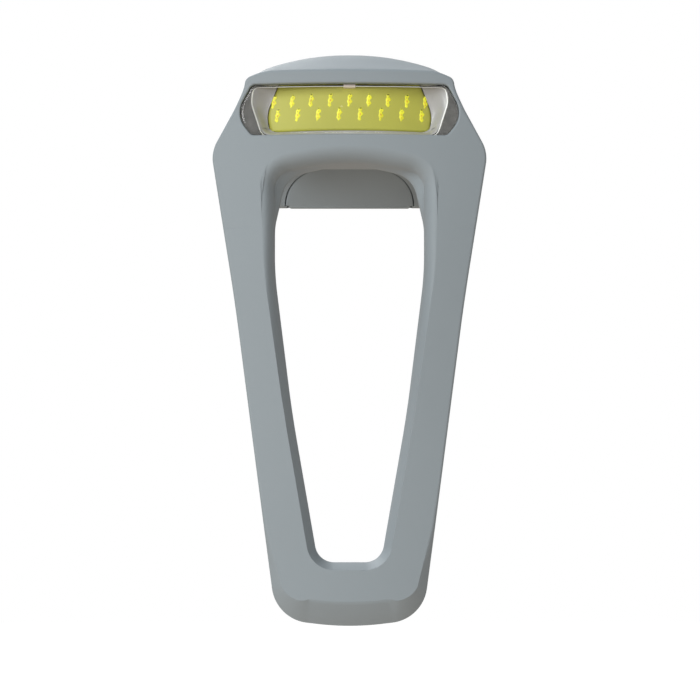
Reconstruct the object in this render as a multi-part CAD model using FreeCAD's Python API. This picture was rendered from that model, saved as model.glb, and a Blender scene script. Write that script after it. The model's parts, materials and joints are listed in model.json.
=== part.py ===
import FreeCAD, Part
import math
import os
from FreeCAD import Vector

# Strap-on bicycle light, in millimetres and degrees.
# The origin is on the handlebar's axis, in the middle of the saddle. +X runs along
# the bar, -Y is the way the light shines and +Z is up.
# A silicone jacket holds a hard core with the lens, the board and the cell. Its strap
# hangs down from the front, wraps under the bar and hooks on behind.

# The bar and the saddle that sits on it
bar_radius = 11.1
saddle_rear_angle = 64.0

# Walls and clearances
skin = 1.5
top_skin = 1.8
core_wall = 1.0
seat_gap = 0.05
solder_gap = 0.02
move_gap = 0.2

# What is stacked above the saddle, from the core's floor to its roof
pad_thickness = 0.3
cell_thickness = 3.0
cell_top_gap = 0.3
board_thickness = 0.8
switch_height = 1.3
roof_gap = 0.9

# Corners of the front view: half width, height and rounding
top_half_width = 13.25
flare_drop = 0.35
flare_radius = 16.0
shoulder_half_width = 17.45
shoulder_drop = 2.1
shoulder_radius = 4.0
knee_half_width = 14.4
knee_z = -10.3
knee_radius = 300.0
tip_half_width = 9.25
tip_corner_radius = 2.8
tip_z = -50.8
tip_slope = 7.0
tip_bow_radius = 35.0

# Head, seen from the side
nose_reach = 5.3
nose_bend_radius = 70.0
crown_drop = 2.65
crease_drop = 4.1
brow_reach = 5.8
brow_drop = 1.0
brow_radius = 16.0
crown_front_reach = 6.6
crown_front_radius = 40.0
crown_rear_reach = 6.6
crown_rear_radius = 24.0
tail_reach = 1.5
tail_drop = 2.2
tail_slope = 0.3
belly_depth = 3.67

# Head, seen from above
waist_front_reach = 1.6
waist_back_y = -0.5
waist_radius = 8.0
tail_half_width = 12.6
tail_corner_radius = 6.0

# Strap, hanging straight down in front of the bar
strap_back_gap = 0.2
tip_bevel_height = 3.0
tip_bevel_depth = 2.6
tip_bevel_side = 0.7
tip_bevel_rounding = 1.7
tip_bevel_start_z = -33.0
tip_bevel_start_half_width = 11.5
tip_bevel_flare = 0.4
tip_bevel_shares = [-0.25, 1.2]

# Opening between the legs of the strap: half width, height and rounding
arch_half_width = 9.45
arch_radius = 8.0
loop_upper_z = -6.5
loop_upper_radius = 40.0
loop_middle_half_width = 7.25
loop_middle_z = -24.0
loop_middle_radius = 150.0
loop_low_half_width = 3.95
loop_low_z = -42.85
loop_low_radius = 2.4

# Rounded rim of that opening, wider under the head than along the legs
arch_rim = 1.9
upper_rim = 1.3
leg_rim = 1.0
rim_depth = 2.7
rim_steps = [0.0, 0.12, 0.28, 0.55, 1.0]

# Bending places of the strap, each a rounded end in a hollow end
first_bend_z = -5.5
bend_spacing = 11.0
bend_count = 4
bend_reach = 1.9
knuckle_radius = 2.0
knuckle_gap = 0.3

# Hook behind the head
hook_width = 7.0
hook_drop = 4.1
hook_floor = 2.8
hook_notch = 4.7
hook_lip = 2.0
hook_lip_height = 3.0
hook_heel_radius = 1.6
hook_lip_radius = 0.9
hook_notch_radius = 0.8

# Window in the jacket and the lens in it
window_height = 6.5
window_drop = 0.3
window_half_width = 12.35
window_end_half_width = 14.4
window_end_radius = 4.0
window_corner_radius = 0.9
lens_recess = 0.35
lens_front_wall = 1.2
lens_side_wall = 1.3
lens_rim_wall = 0.35
lens_flange = 0.8
lens_flange_half_width = 11.8
lens_flange_thickness = 0.9
seal_thickness = 0.4

# Hard core behind the lens
core_front_reach = 0.6
core_front_half_width = 11.7
roof_eave = 4.5
roof_end_drop = 1.2
roof_side_drop = 2.0

# Strip of light-emitting dies
strip_bend_radius = 17.6
strip_set_back = 2.2
strip_half_length = 10.8
strip_end_slant = 0.9
strip_height = 5.0
substrate_thickness = 0.7
phosphor_thickness = 0.45
die_width = 0.6
die_height = 1.4
die_thickness = 0.2
die_gap = 0.03
die_upper_count = 9
die_lower_count = 8
die_pitch = 2.28
die_row_offset = 1.0
bezel_gap = 0.1
bezel_set_back = 0.3
status_light_width = 1.5
status_light_height = 0.7

# Metal block and ribbon behind the strip
spreader_end = 1.4
spreader_neck_end = 2.5
spreader_neck_side = 0.6
ribbon_width = 3.0
ribbon_thickness = 0.2
ribbon_drop = 1.2
ribbon_rise_gap = 1.2
groove_width = 3.6

# Main board with its chips: place across, distance in front of the socket's middle,
# width, depth and height of each
board_edge_gap = 0.5
board_corner_cut = 2.0
chips = [
    (5.2, 5.43, 3.0, 3.0, 0.8),
    (-5.0, 5.63, 2.6, 2.6, 0.8),
    (-5.2, 9.63, 2.2, 2.2, 1.0),
    (5.4, 9.43, 1.6, 0.9, 0.5),
    (5.4, 11.23, 1.6, 0.9, 0.5),
    (0.0, 4.63, 1.6, 0.9, 0.5),
    (-2.4, 2.43, 1.0, 0.6, 0.4),
    (2.4, 2.43, 1.0, 0.6, 0.4),
]

# Cell with its sealed front edge and its tabs
cell_side_gap = 0.6
cell_front_gap = 0.4
cell_edge_radius = 1.2
cell_seal_depth = 1.6
cell_seal_thickness = 0.3
tab_width = 2.0
tab_thickness = 0.2
tab_x = 3.6
tab_fold = 1.3
pad_side_gap = 2.0
pad_depth = 5.0

# Switch and the button above it in the top of the jacket
switch_width = 4.0
switch_depth = 3.0
stem_radius = 0.85
stem_rise = 0.35
stem_gap = 0.1
stem_foot = 0.25
button_y = -3.0
button_radius = 5.2
button_thickness = 1.3
plunger_radius = 1.2
plunger_hole_gap = 0.3
button_travel = 0.3

# Charging socket, upright behind the flap
socket_width = 8.94
socket_depth = 3.26
socket_height = 6.1
socket_wall = 0.3
socket_back_wall = 0.8
socket_inset = 4.57
tongue_width = 6.7
tongue_thickness = 0.7
tongue_set_back = 1.2
tongue_base = 1.4
gasket_width = 0.5
gasket_set_back = 0.2
gasket_height = 1.6

# Flap under the saddle that covers the socket
flap_thickness = 1.2
flap_hinge_angle = 62.0
flap_half_width = 8.6
flap_reach = 6.6

# Screws that hold the board
screw_radius = 0.7
screw_head_radius = 1.3
screw_head_height = 0.4
screw_length = 3.0
screw_tip_gap = 0.3
screw_slot_length = 1.6
screw_slot_width = 0.3
screw_hole_gap = 0.1
screw_inset = 1.3
screw_side_inset = 1.8
boss_wall = 0.6

# Heights and places worked out from the sizes above
core_floor_top = bar_radius + skin + core_wall
cell_bottom_z = core_floor_top + pad_thickness
cell_top_z = cell_bottom_z + cell_thickness
board_bottom_z = cell_top_z + cell_top_gap
board_top_z = board_bottom_z + board_thickness
switch_top_z = board_top_z + switch_height
stem_top_z = switch_top_z + stem_rise
roof_z = switch_top_z + roof_gap
crown_z = roof_z + core_wall + top_skin
nose_y = -(bar_radius + nose_reach)
tail_y = bar_radius + tail_reach
strap_back_y = -(bar_radius + strap_back_gap)
bend_y = strap_back_y - bend_reach
bend_z = [first_bend_z - bend_spacing * step for step in range(bend_count)]
belly_z = bar_radius - belly_depth
shoulder_z = bar_radius - shoulder_drop
hook_z = bar_radius - hook_drop
waist_front_y = -bar_radius + waist_front_reach
brow_y = nose_y + brow_reach
crown_front_y = brow_y + crown_front_reach
crown_rear_y = tail_y - crown_rear_reach
window_bottom_z = bar_radius - window_drop
window_top_z = window_bottom_z + window_height
flare_z = window_top_z - flare_drop
socket_y = tail_y - socket_inset
core_front_y = -bar_radius + core_front_reach
flange_back_y = core_front_y - seal_thickness
flange_front_y = flange_back_y - lens_flange_thickness
window_z = (window_top_z + window_bottom_z) / 2.0
strip_nose_y = nose_y + strip_set_back
strip_axis_y = strip_nose_y + strip_bend_radius
ribbon_z = window_z + strip_height / 2.0 - ribbon_drop
flap_hinge_radius = bar_radius + flap_thickness / 2.0
flap_hinge_y = flap_hinge_radius * math.sin(math.radians(flap_hinge_angle))
flap_hinge_z = flap_hinge_radius * math.cos(math.radians(flap_hinge_angle))
screw_y = core_front_y + core_wall + screw_head_radius + screw_inset
cell_front_y = screw_y + screw_radius + boss_wall + cell_front_gap
cell_half_width = tail_half_width - skin - core_wall - board_edge_gap - cell_side_gap
screw_x = cell_half_width - screw_side_inset
socket_top_z = board_bottom_z - solder_gap
socket_mouth_z = socket_top_z - socket_height
far = 60.0


def save(name, shape):
    shape.exportStep("parts/" + name + ".step")


def box(x_low, x_high, y_low, y_high, z_low, z_high):
    corner = Vector(x_low, y_low, z_low)
    return Part.makeBox(x_high - x_low, y_high - y_low, z_high - z_low, corner)


def bar_cylinder(radius, half_length, y=0.0, z=0.0):
    """Cylinder along X, centred on x = 0."""
    return Part.makeCylinder(radius, 2.0 * half_length, Vector(-half_length, y, z), Vector(1, 0, 0))


def upright(radius, z_low, z_high, x=0.0, y=button_y):
    return Part.makeCylinder(radius, z_high - z_low, Vector(x, y, z_low))


def bow_cylinder(inset):
    """All behind the gently bowed front face, or behind one set back by the inset."""
    foot = Vector(0, nose_y + nose_bend_radius, -2.0 * far)
    return Part.makeCylinder(nose_bend_radius - inset, 4.0 * far, foot)


def plan_place(u, v):
    return Vector(u, v, 0)


def front_place(u, v):
    return Vector(u, 0, v)


def side_place(u, v):
    return Vector(0, u, v)


def unit(u, v):
    length = math.hypot(u, v)
    return u / length, v / length


def corner_turns(corners):
    """Direction into and out of each corner, and half the angle it turns by."""
    turns = []
    for index, (u, v, _) in enumerate(corners):
        before = corners[index - 1]
        after = corners[(index + 1) % len(corners)]
        way_in = unit(u - before[0], v - before[1])
        way_out = unit(after[0] - u, after[1] - v)
        cosine = way_in[0] * way_out[0] + way_in[1] * way_out[1]
        turns.append((way_in, way_out, math.acos(max(-1.0, min(1.0, cosine))) / 2.0))
    return turns


def take_in(corners, inset):
    """Corners of a convex outline whose sides have all moved inwards."""
    moved = []
    for (u, v, radius), (way_in, way_out, half_turn) in zip(corners, corner_turns(corners)):
        inward = unit(way_out[0] - way_in[0], way_out[1] - way_in[1])
        reach = inset / math.cos(half_turn)
        moved.append((u + inward[0] * reach, v + inward[1] * reach, max(radius - inset, 0.0)))
    return moved


def rounded_wire(corners, place):
    """Closed wire of straight sides, each corner rounded by an arc that meets its sides
    without a kink.
    """
    edges = []
    ends = []
    for (u, v, radius), (way_in, way_out, half_turn) in zip(corners, corner_turns(corners)):
        cut = radius * math.tan(half_turn)
        first = place(u - way_in[0] * cut, v - way_in[1] * cut)
        last = place(u + way_out[0] * cut, v + way_out[1] * cut)
        if radius > 0.0:
            inward = unit(way_out[0] - way_in[0], way_out[1] - way_in[1])
            reach = radius / math.cos(half_turn) - radius
            middle = place(u + inward[0] * reach, v + inward[1] * reach)
            edges.append(Part.Arc(first, middle, last).toShape())
        ends.append((first, last))
    for index, (first, _) in enumerate(ends):
        edges.append(Part.LineSegment(ends[index - 1][1], first).toShape())
    return Part.Wire(Part.__sortEdges__(edges))


def prism(corners, place, low, high):
    """Solid with a rounded outline, between two places along the outline's normal."""
    normal = place(1, 0).cross(place(0, 1))
    normal = Vector(abs(normal.x), abs(normal.y), abs(normal.z))
    face = Part.Face(rounded_wire(corners, place))
    face.translate(normal * low)
    return face.extrude(normal * (high - low))


def mirrored(corners):
    """Corners of the right half followed by their mirror images on the left."""
    return corners + [(-u, v, radius) for u, v, radius in reversed(corners) if u > 0.0]


def front_corners():
    """Front view of the head and the strap, with the bowed lower end of the tip."""
    slope = math.radians(tip_slope)
    point_z = tip_z - tip_bow_radius * (1.0 / math.cos(slope) - 1.0)
    return mirrored([
        (top_half_width, crown_z + skin, 0.0),
        (top_half_width, flare_z, flare_radius),
        (shoulder_half_width, shoulder_z, shoulder_radius),
        (knee_half_width, knee_z, knee_radius),
        (tip_half_width, point_z + tip_half_width * math.tan(slope), tip_corner_radius),
        (0.0, point_z, tip_bow_radius),
    ])


def head_plan_corners():
    """Plan of the head: wide shoulders in front and a narrower rounded tail."""
    wide = shoulder_half_width + skin
    return mirrored([
        (wide, nose_y - skin, 0.0),
        (wide, waist_front_y, waist_radius),
        (tail_half_width, waist_back_y, waist_radius),
        (tail_half_width, tail_y, tail_corner_radius),
    ])


def core_plan_corners():
    half = tail_half_width - skin
    return mirrored([
        (core_front_half_width, core_front_y, 0.0),
        (half, tail_y - skin, tail_corner_radius - skin),
    ])


def side_prism(inset, first_y):
    """Side view of the head: the saddle's arc below and the tail behind."""
    radius = bar_radius + inset
    low_z = belly_z + inset
    front = side_place(-math.sqrt(radius ** 2 - low_z ** 2), low_z)
    turn = math.radians(saddle_rear_angle)
    rear = side_place(radius * math.sin(turn), radius * math.cos(turn))
    back = tail_y + skin
    rear_low = side_place(back, rear.z + (back - rear.y) * tail_slope)
    rear_top = side_place(back, crown_z + skin)
    front_top = side_place(first_y, crown_z + skin)
    front_low = side_place(first_y, low_z)
    wire = Part.Wire([
        Part.LineSegment(front_top, front_low).toShape(),
        Part.LineSegment(front_low, front).toShape(),
        Part.Arc(front, side_place(0, radius), rear).toShape(),
        Part.LineSegment(rear, rear_low).toShape(),
        Part.LineSegment(rear_low, rear_top).toShape(),
        Part.LineSegment(rear_top, front_top).toShape(),
    ])
    face = Part.Face(wire)
    face.translate(Vector(-far, 0, 0))
    return face.extrude(Vector(2.0 * far, 0, 0))


def crown_solid():
    """All that lies under the domed crown: an arch across, with a brow and a tail."""
    arch_radius_across = (top_half_width ** 2 + crown_drop ** 2) / (2.0 * crown_drop)
    foot = Vector(0, -far, crown_z - arch_radius_across)
    arch = Part.makeCylinder(arch_radius_across, 2.0 * far, foot, Vector(0, 1, 0))
    corners = [
        (nose_y, 0.0, 0.0),
        (nose_y, crown_z - crease_drop, 0.0),
        (brow_y, crown_z - brow_drop, brow_radius),
        (crown_front_y, crown_z + seat_gap, crown_front_radius),
        (crown_rear_y, crown_z + seat_gap, crown_rear_radius),
        (tail_y, crown_z - tail_drop, 0.0),
        (tail_y, 0.0, 0.0),
    ]
    return arch.common(prism(corners, side_place, -far, far))


def head_solid():
    """The head's outer body: what its front view, plan, side view and crown share."""
    body = prism(front_corners(), front_place, nose_y - skin, tail_y + skin)
    body = body.common(prism(head_plan_corners(), plan_place, 0.0, crown_z + skin))
    body = body.common(side_prism(0.0, nose_y - skin))
    return body.common(bow_cylinder(0.0)).common(crown_solid())


def roof_prism(inset, along_x):
    """Room under a flat roof with two sloping eaves, seen from the side or the front."""
    flat_z = crown_z - top_skin - inset
    if along_x:
        low, high, drop, place = core_front_y, tail_y - skin, roof_end_drop, side_place
    else:
        low, high = -core_front_half_width, core_front_half_width
        drop, place = roof_side_drop, front_place
    corners = [
        (low, 0.0, 0.0),
        (low, flat_z - drop, 0.0),
        (low + roof_eave, flat_z, 0.0),
        (high - roof_eave, flat_z, 0.0),
        (high, flat_z - drop, 0.0),
        (high, 0.0, 0.0),
    ]
    return prism(corners, place, -far, far)


def core_solid(inset):
    """Space of the hard core, taken in by the inset on every side."""
    body = prism(take_in(core_plan_corners(), inset), plan_place, 0.0, crown_z)
    body = body.common(side_prism(skin + inset, core_front_y))
    return body.common(roof_prism(inset, True)).common(roof_prism(inset, False))


def window_prism(inset, y_low, y_high):
    """The window's outline: flat above and below, with ends that bow outwards."""
    corners = mirrored([
        (window_half_width, window_top_z, window_corner_radius),
        (window_end_half_width, window_z, window_end_radius),
        (window_half_width, window_bottom_z, window_corner_radius),
    ])
    return prism(take_in(corners, inset), front_place, y_low, y_high)


def loop_corners(depth):
    """Outline of the opening between the legs, at one depth behind the nose.

    The rim is a quarter of an ellipse: it widens the outline most at the bowed front
    face and not at all at the rim's full depth behind that face.
    """
    corners = []
    for u, v, radius, rim, rise in [
        (arch_half_width, belly_z, arch_radius, arch_rim, 1.0),
        (arch_half_width, loop_upper_z, loop_upper_radius, upper_rim, 0.0),
        (loop_middle_half_width, loop_middle_z, loop_middle_radius, leg_rim, 0.0),
        (loop_low_half_width, loop_low_z, loop_low_radius, leg_rim, -1.0),
    ]:
        behind_face = depth - u ** 2 / (2.0 * nose_bend_radius)
        share = min(max(behind_face / rim_depth, 0.0), 1.0)
        grow = rim * (1.0 - math.sqrt(1.0 - (1.0 - share) ** 2))
        corners.append((u + grow, v + rise * grow, radius + abs(rise) * grow))
    return mirrored(corners)


def loop_cutter():
    """The opening between the legs, with its rounded rim at the front face."""
    full = rim_depth + arch_half_width ** 2 / (2.0 * nose_bend_radius)
    depths = [-skin] + [full * step for step in rim_steps] + [strap_back_y + 1.0 - nose_y]
    wires = []
    for depth in depths:
        wire = rounded_wire(loop_corners(depth), front_place)
        wire.translate(Vector(0, nose_y + depth, 0))
        wires.append(wire)
    return Part.makeLoft(wires, True, True)


def strap_slab():
    """The hanging strap, from inside the head to its tip."""
    slab = prism(front_corners(), front_place, nose_y - skin, strap_back_y)
    low_half = box(-far, far, -far, far, tip_z - skin, core_floor_top)
    return slab.common(bow_cylinder(0.0)).common(low_half)


def tip_bevel_corners(share):
    """Outline that bevels the tip: the bevel's inner edge at share 0, the tip's own
    outline at share 1. Above the bevel it stays clear of the strap.
    """
    left = 1.0 - share
    slope = math.radians(tip_slope)
    drop = tip_bow_radius * (1.0 / math.cos(slope) - 1.0)
    point_z = tip_z + tip_bevel_height * left - drop
    half = tip_half_width - tip_bevel_side * left
    start = tip_bevel_start_half_width + tip_bevel_flare * share
    return mirrored([
        (far, far, 0.0),
        (far, tip_bevel_start_z, 0.0),
        (start, tip_bevel_start_z, 0.0),
        (half, point_z + half * math.tan(slope), tip_corner_radius + tip_bevel_rounding * left),
        (0.0, point_z, tip_bow_radius),
    ])


def tip_bevel_solid():
    """All that the bevel round the strap's tip leaves standing."""
    low, high = tip_bevel_shares
    wires = []
    for share, y in (
        (low, nose_y + low * tip_bevel_depth),
        (high, nose_y + high * tip_bevel_depth),
        (high, far),
    ):
        wire = rounded_wire(tip_bevel_corners(share), front_place)
        wire.translate(Vector(0, y, 0))
        wires.append(wire)
    return Part.makeLoft(wires, True, True)


def outer_body():
    """Head and strap in one, with the tip's bevel and the opening between the legs."""
    body = head_solid().fuse(strap_slab()).removeSplitter()
    return body.common(tip_bevel_solid()).cut(loop_cutter())


def knuckle(index, radius):
    return bar_cylinder(radius, far, bend_y, bend_z[index])


def strap_piece(strap, index):
    """One length of the strap, from the bending place above it to the one below."""
    low = bend_z[index + 1] + knuckle_gap if index + 1 < bend_count else tip_z - 1.0
    piece = strap.common(box(-far, far, -far, far, low, bend_z[index]))
    piece = piece.fuse(strap.common(knuckle(index, knuckle_radius))).removeSplitter()
    if index + 1 < bend_count:
        piece = piece.cut(knuckle(index + 1, knuckle_radius + knuckle_gap))
    return piece


def hook():
    """Hook behind the head that the end of the strap is pulled over."""
    root = tail_y - skin
    back = tail_y + hook_notch + hook_lip
    floor = hook_z + hook_floor
    top = floor + hook_lip_height
    corners = [
        (root, hook_z, 0.0),
        (back, hook_z, hook_heel_radius),
        (back, top, hook_lip_radius),
        (back - hook_lip, top, hook_lip_radius),
        (back - hook_lip, floor, hook_notch_radius),
        (root, floor, 0.0),
    ]
    return prism(corners, side_place, -hook_width / 2.0, hook_width / 2.0)


def flap_region(grow, depth):
    """Space of the flap: a layer on the saddle inside a round-ended barrel about the
    flap's hinge, so that the flap swings out of it with an even gap.
    """
    layer = bar_cylinder(bar_radius + depth, far).cut(bar_cylinder(bar_radius, far))
    slant = math.radians(flap_hinge_angle)
    corners = [(0.0, 0.0, 0.0), (far * math.sin(slant), far * math.cos(slant), 0.0), (0.0, far, 0.0)]
    layer = layer.common(prism(corners, side_place, -far, far))
    straight = flap_half_width - flap_reach
    reach = flap_reach + grow
    barrel = bar_cylinder(reach, straight, flap_hinge_y, flap_hinge_z)
    for x in (-straight, straight):
        barrel = barrel.fuse(Part.makeSphere(reach, Vector(x, flap_hinge_y, flap_hinge_z)))
    return layer.common(barrel.removeSplitter())


def flap_solid():
    pin = bar_cylinder(flap_thickness / 2.0, flap_half_width - move_gap, flap_hinge_y, flap_hinge_z)
    return flap_region(0.0, flap_thickness).fuse(pin).removeSplitter()


def flap_pocket():
    room = bar_cylinder(
        flap_thickness / 2.0 + move_gap, flap_half_width + move_gap, flap_hinge_y, flap_hinge_z
    )
    return flap_region(move_gap, skin + seat_gap).fuse(room)


def flange_prism(grow, y_low, y_high):
    """The flange stands out above and below the window, not at its ends."""
    half = lens_flange_half_width + grow
    reach = lens_flange + grow
    return box(-half, half, y_low, y_high, window_bottom_z - reach, window_top_z + reach)


def lens_pocket():
    """Window and the wider room for the lens's flange behind it."""
    window = window_prism(0.0, nose_y - skin, core_front_y)
    return window.fuse(flange_prism(seat_gap, flange_front_y - seat_gap, core_front_y))


def jacket(body):
    """Silicone jacket: the head with its shoulders, window, button hole, flap and hook."""
    shell = body.common(box(-far, far, -far, far, bend_z[0] + knuckle_gap, crown_z + skin))
    shell = shell.cut(knuckle(0, knuckle_radius + knuckle_gap))
    shell = shell.fuse(hook())
    shell = shell.cut(core_solid(0.0))
    shell = shell.cut(lens_pocket())
    shell = shell.cut(upright(button_radius + move_gap, roof_z, crown_z + skin))
    return shell.cut(flap_pocket())


def button_pad():
    """Press area of the crown with the post that reaches down to the switch."""
    pad = head_solid().common(upright(button_radius, crown_z - button_thickness, crown_z + skin))
    post = upright(plunger_radius, stem_top_z + seat_gap, crown_z - button_thickness / 2.0)
    return pad.fuse(post).removeSplitter()


def rounded_slot(half_width, half_depth, z_low, z_high):
    """Upright prism with the charging socket's rounded outline."""
    corners = [
        (sign_x * half_width, socket_y + sign_y * half_depth, half_depth - solder_gap)
        for sign_x, sign_y in ((-1, -1), (1, -1), (1, 1), (-1, 1))
    ]
    return prism(corners, plan_place, z_low, z_high)


def core_shell():
    """Hollow hard core behind the lens, before it is split."""
    shell = core_solid(seat_gap).cut(core_solid(core_wall))
    shell = shell.cut(spreader_neck(seat_gap, core_front_y - core_wall, core_front_y + 2.0 * core_wall))
    shell = shell.cut(upright(plunger_radius + plunger_hole_gap, board_top_z, crown_z))
    half = socket_width / 2.0 + gasket_width + seat_gap
    deep = socket_depth / 2.0 + gasket_width + seat_gap
    return shell.cut(rounded_slot(half, deep, flap_hinge_z, board_bottom_z))


def core_halves():
    """The core's lower half with its screw bosses, and its upper half."""
    shell = core_shell()
    split_z = board_bottom_z + board_thickness / 2.0
    lower = shell.common(box(-far, far, -far, far, 0.0, split_z - seat_gap / 2.0))
    upper = shell.common(box(-far, far, -far, far, split_z + seat_gap / 2.0, crown_z))
    room = core_solid(seat_gap)
    for x in (-screw_x, screw_x):
        boss = upright(screw_radius + boss_wall, belly_z, board_bottom_z - seat_gap, x, screw_y)
        low_z = board_top_z - screw_length - screw_tip_gap
        hole = upright(screw_radius + seat_gap, low_z, board_top_z, x, screw_y)
        lower = lower.fuse(boss.common(room)).cut(hole)
    return lower.removeSplitter(), upper


def board_screws():
    screws = []
    for x in (-screw_x, screw_x):
        shank = upright(screw_radius, board_top_z - screw_length, board_top_z + solder_gap, x, screw_y)
        head = upright(screw_head_radius, board_top_z, board_top_z + screw_head_height, x, screw_y)
        half = screw_slot_length / 2.0
        deep = screw_slot_width / 2.0
        slot_z = board_top_z + screw_head_height / 2.0
        slot = box(x - half, x + half, screw_y - deep, screw_y + deep, slot_z, crown_z)
        screws.append(head.fuse(shank).cut(slot))
    return Part.makeCompound(screws)


def chamber(gap, y_high):
    """Room inside the lens's walls, in front of the core."""
    inset = lens_side_wall + gap
    half = window_half_width - inset
    low = window_bottom_z + lens_rim_wall + gap
    high = window_top_z - lens_rim_wall - gap
    room = window_prism(inset, nose_y, y_high).fuse(box(-half, half, nose_y, y_high, low, high))
    return room.common(bow_cylinder(lens_recess + lens_front_wall + gap))


def lens():
    """Clear tray: a front that follows the head's, deep side walls and a rear flange."""
    body = window_prism(seat_gap, nose_y - skin, flange_back_y).common(bow_cylinder(lens_recess))
    flange = flange_prism(0.0, flange_front_y, flange_back_y)
    return body.fuse(flange).cut(chamber(0.0, core_front_y)).removeSplitter()


def lens_seal():
    """Thin ring between the lens's flange and the core."""
    y_low = flange_back_y + seat_gap
    ring = flange_prism(0.0, y_low, core_front_y)
    ring = ring.fuse(window_prism(seat_gap, y_low, core_front_y)).removeSplitter()
    return ring.cut(spreader_neck(2.0 * seat_gap, nose_y, 0.0))


def strip_outline(grow, y_low, y_high):
    """Front view of the strip of dies: its ends slant inwards to the top."""
    low = window_z - strip_height / 2.0 - grow
    high = window_z + strip_height / 2.0 + grow
    half = strip_half_length + grow
    corners = mirrored([(half, low, 0.0), (half - strip_end_slant, high, 0.0)])
    return prism(corners, front_place, y_low, y_high)


def strip_layer(r_low, r_high):
    """Curved layer of the strip of dies, an arc in plan."""
    foot = Vector(0, strip_axis_y, 0)
    ring = Part.makeCylinder(r_high, far, foot).cut(Part.makeCylinder(r_low, far, foot))
    return ring.common(strip_outline(0.0, nose_y, flange_back_y))


def dies(grow):
    """The dies, in two staggered rows along the strip's bend."""
    radius = strip_bend_radius - phosphor_thickness
    step = math.degrees(die_pitch / strip_bend_radius)
    half = die_width / 2.0 + grow
    tall = die_height / 2.0 + grow
    solids = []
    for count, offset in ((die_upper_count, die_row_offset), (die_lower_count, -die_row_offset)):
        z = window_z + offset
        for column in range(count):
            low_y = -radius - die_thickness - grow
            die = box(-half, half, low_y, -radius - solder_gap, z - tall, z + tall)
            die.rotate(Vector(0, 0, 0), Vector(0, 0, 1), (column - (count - 1) / 2.0) * step)
            die.translate(Vector(0, strip_axis_y, 0))
            solids.append(die)
    return Part.makeCompound(solids)


def bezel():
    """Pale frame round the strip of dies, inside the lens."""
    room = chamber(bezel_gap, flange_back_y)
    room = room.common(box(-far, far, strip_nose_y + bezel_set_back, 0.0, 0.0, far))
    return room.cut(strip_outline(bezel_gap, nose_y, 0.0))


def status_light():
    """Small light pipe at the top of the lens, in front of the strip."""
    half = status_light_width / 2.0
    y_low = nose_y + lens_recess + lens_front_wall + seat_gap
    z_high = window_top_z - lens_rim_wall - seat_gap
    return box(-half, half, y_low, strip_nose_y - seat_gap, z_high - status_light_height, z_high)


def spreader_neck(grow, y_low, y_high):
    """Part of the metal block that stands in the core's front wall."""
    half = strip_half_length - spreader_neck_end + grow
    tall = strip_height / 2.0 - spreader_neck_side + grow
    return box(-half, half, y_low, y_high, window_z - tall, window_z + tall)


def heat_spreader():
    """Metal block behind the strip: bent front, and a neck that fills the core's opening."""
    radius = strip_bend_radius - phosphor_thickness - substrate_thickness - seat_gap
    half = strip_half_length - spreader_end
    tall = strip_height / 2.0
    block = Part.makeCylinder(radius, far, Vector(0, strip_axis_y, 0))
    block = block.common(box(-half, half, nose_y, flange_back_y, window_z - tall, window_z + tall))
    block = block.fuse(spreader_neck(0.0, flange_back_y, core_front_y + core_wall)).removeSplitter()
    groove_half = groove_width / 2.0
    return block.cut(box(-groove_half, groove_half, nose_y, 0.0, ribbon_z - seat_gap, far))


def strip_ribbon():
    """Flat ribbon from the strip, over the metal block and up to the board."""
    radius = strip_bend_radius - phosphor_thickness - substrate_thickness
    half = ribbon_width / 2.0
    y_low = strip_axis_y - radius + 2.0 * seat_gap
    y_high = core_front_y + core_wall + ribbon_rise_gap
    flat = box(-half, half, y_low, y_high, ribbon_z, ribbon_z + ribbon_thickness)
    rise = box(-half, half, y_high - ribbon_thickness, y_high, ribbon_z, board_bottom_z - solder_gap)
    return flat.fuse(rise).removeSplitter()


def main_board():
    """Board with its rear corners cut off and a hole for each screw."""
    half = tail_half_width - skin - core_wall - board_edge_gap
    front = core_front_y + core_wall + board_edge_gap
    back = tail_y - skin - core_wall - board_edge_gap
    cut = board_corner_cut
    corners = mirrored([(half, front, 0.0), (half, back - cut, 0.0), (half - cut, back, 0.0)])
    board = prism(corners, plan_place, board_bottom_z, board_top_z)
    for x in (-screw_x, screw_x):
        hole = upright(screw_radius + screw_hole_gap, cell_bottom_z, crown_z, x, screw_y)
        board = board.cut(hole)
    return board


def board_chips():
    """Control chip, driver chip, inductor and small parts on top of the board."""
    low = board_top_z + solder_gap
    solids = []
    for x, before_socket, wide, deep, high in chips:
        y = socket_y - before_socket
        half = wide / 2.0
        reach = deep / 2.0
        solids.append(box(x - half, x + half, y - reach, y + reach, low, low + high))
    return Part.makeCompound(solids)


def switch_body():
    half = switch_width / 2.0
    deep = switch_depth / 2.0
    low = board_top_z + solder_gap
    body = box(-half, half, button_y - deep, button_y + deep, low, switch_top_z)
    hole_z = switch_top_z - stem_foot - button_travel - solder_gap
    return body.cut(upright(stem_radius + stem_gap, hole_z, crown_z))


def switch_stem():
    return upright(stem_radius, switch_top_z - stem_foot, stem_top_z)


def cell():
    """Soft-pack cell with rounded long edges and a sealed front edge."""
    back = socket_y - socket_depth / 2.0 - cell_front_gap
    half = cell_half_width
    corners = mirrored([(half, cell_bottom_z, cell_edge_radius), (half, cell_top_z, cell_edge_radius)])
    body = prism(corners, front_place, cell_front_y, back)
    middle = (cell_bottom_z + cell_top_z) / 2.0
    thick = cell_seal_thickness / 2.0
    seal_half = screw_x - screw_radius - boss_wall - screw_tip_gap
    seal_y = cell_front_y - cell_seal_depth
    seal = box(-seal_half, seal_half, seal_y, cell_front_y + thick, middle - thick, middle + thick)
    return body.fuse(seal).removeSplitter()


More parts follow.
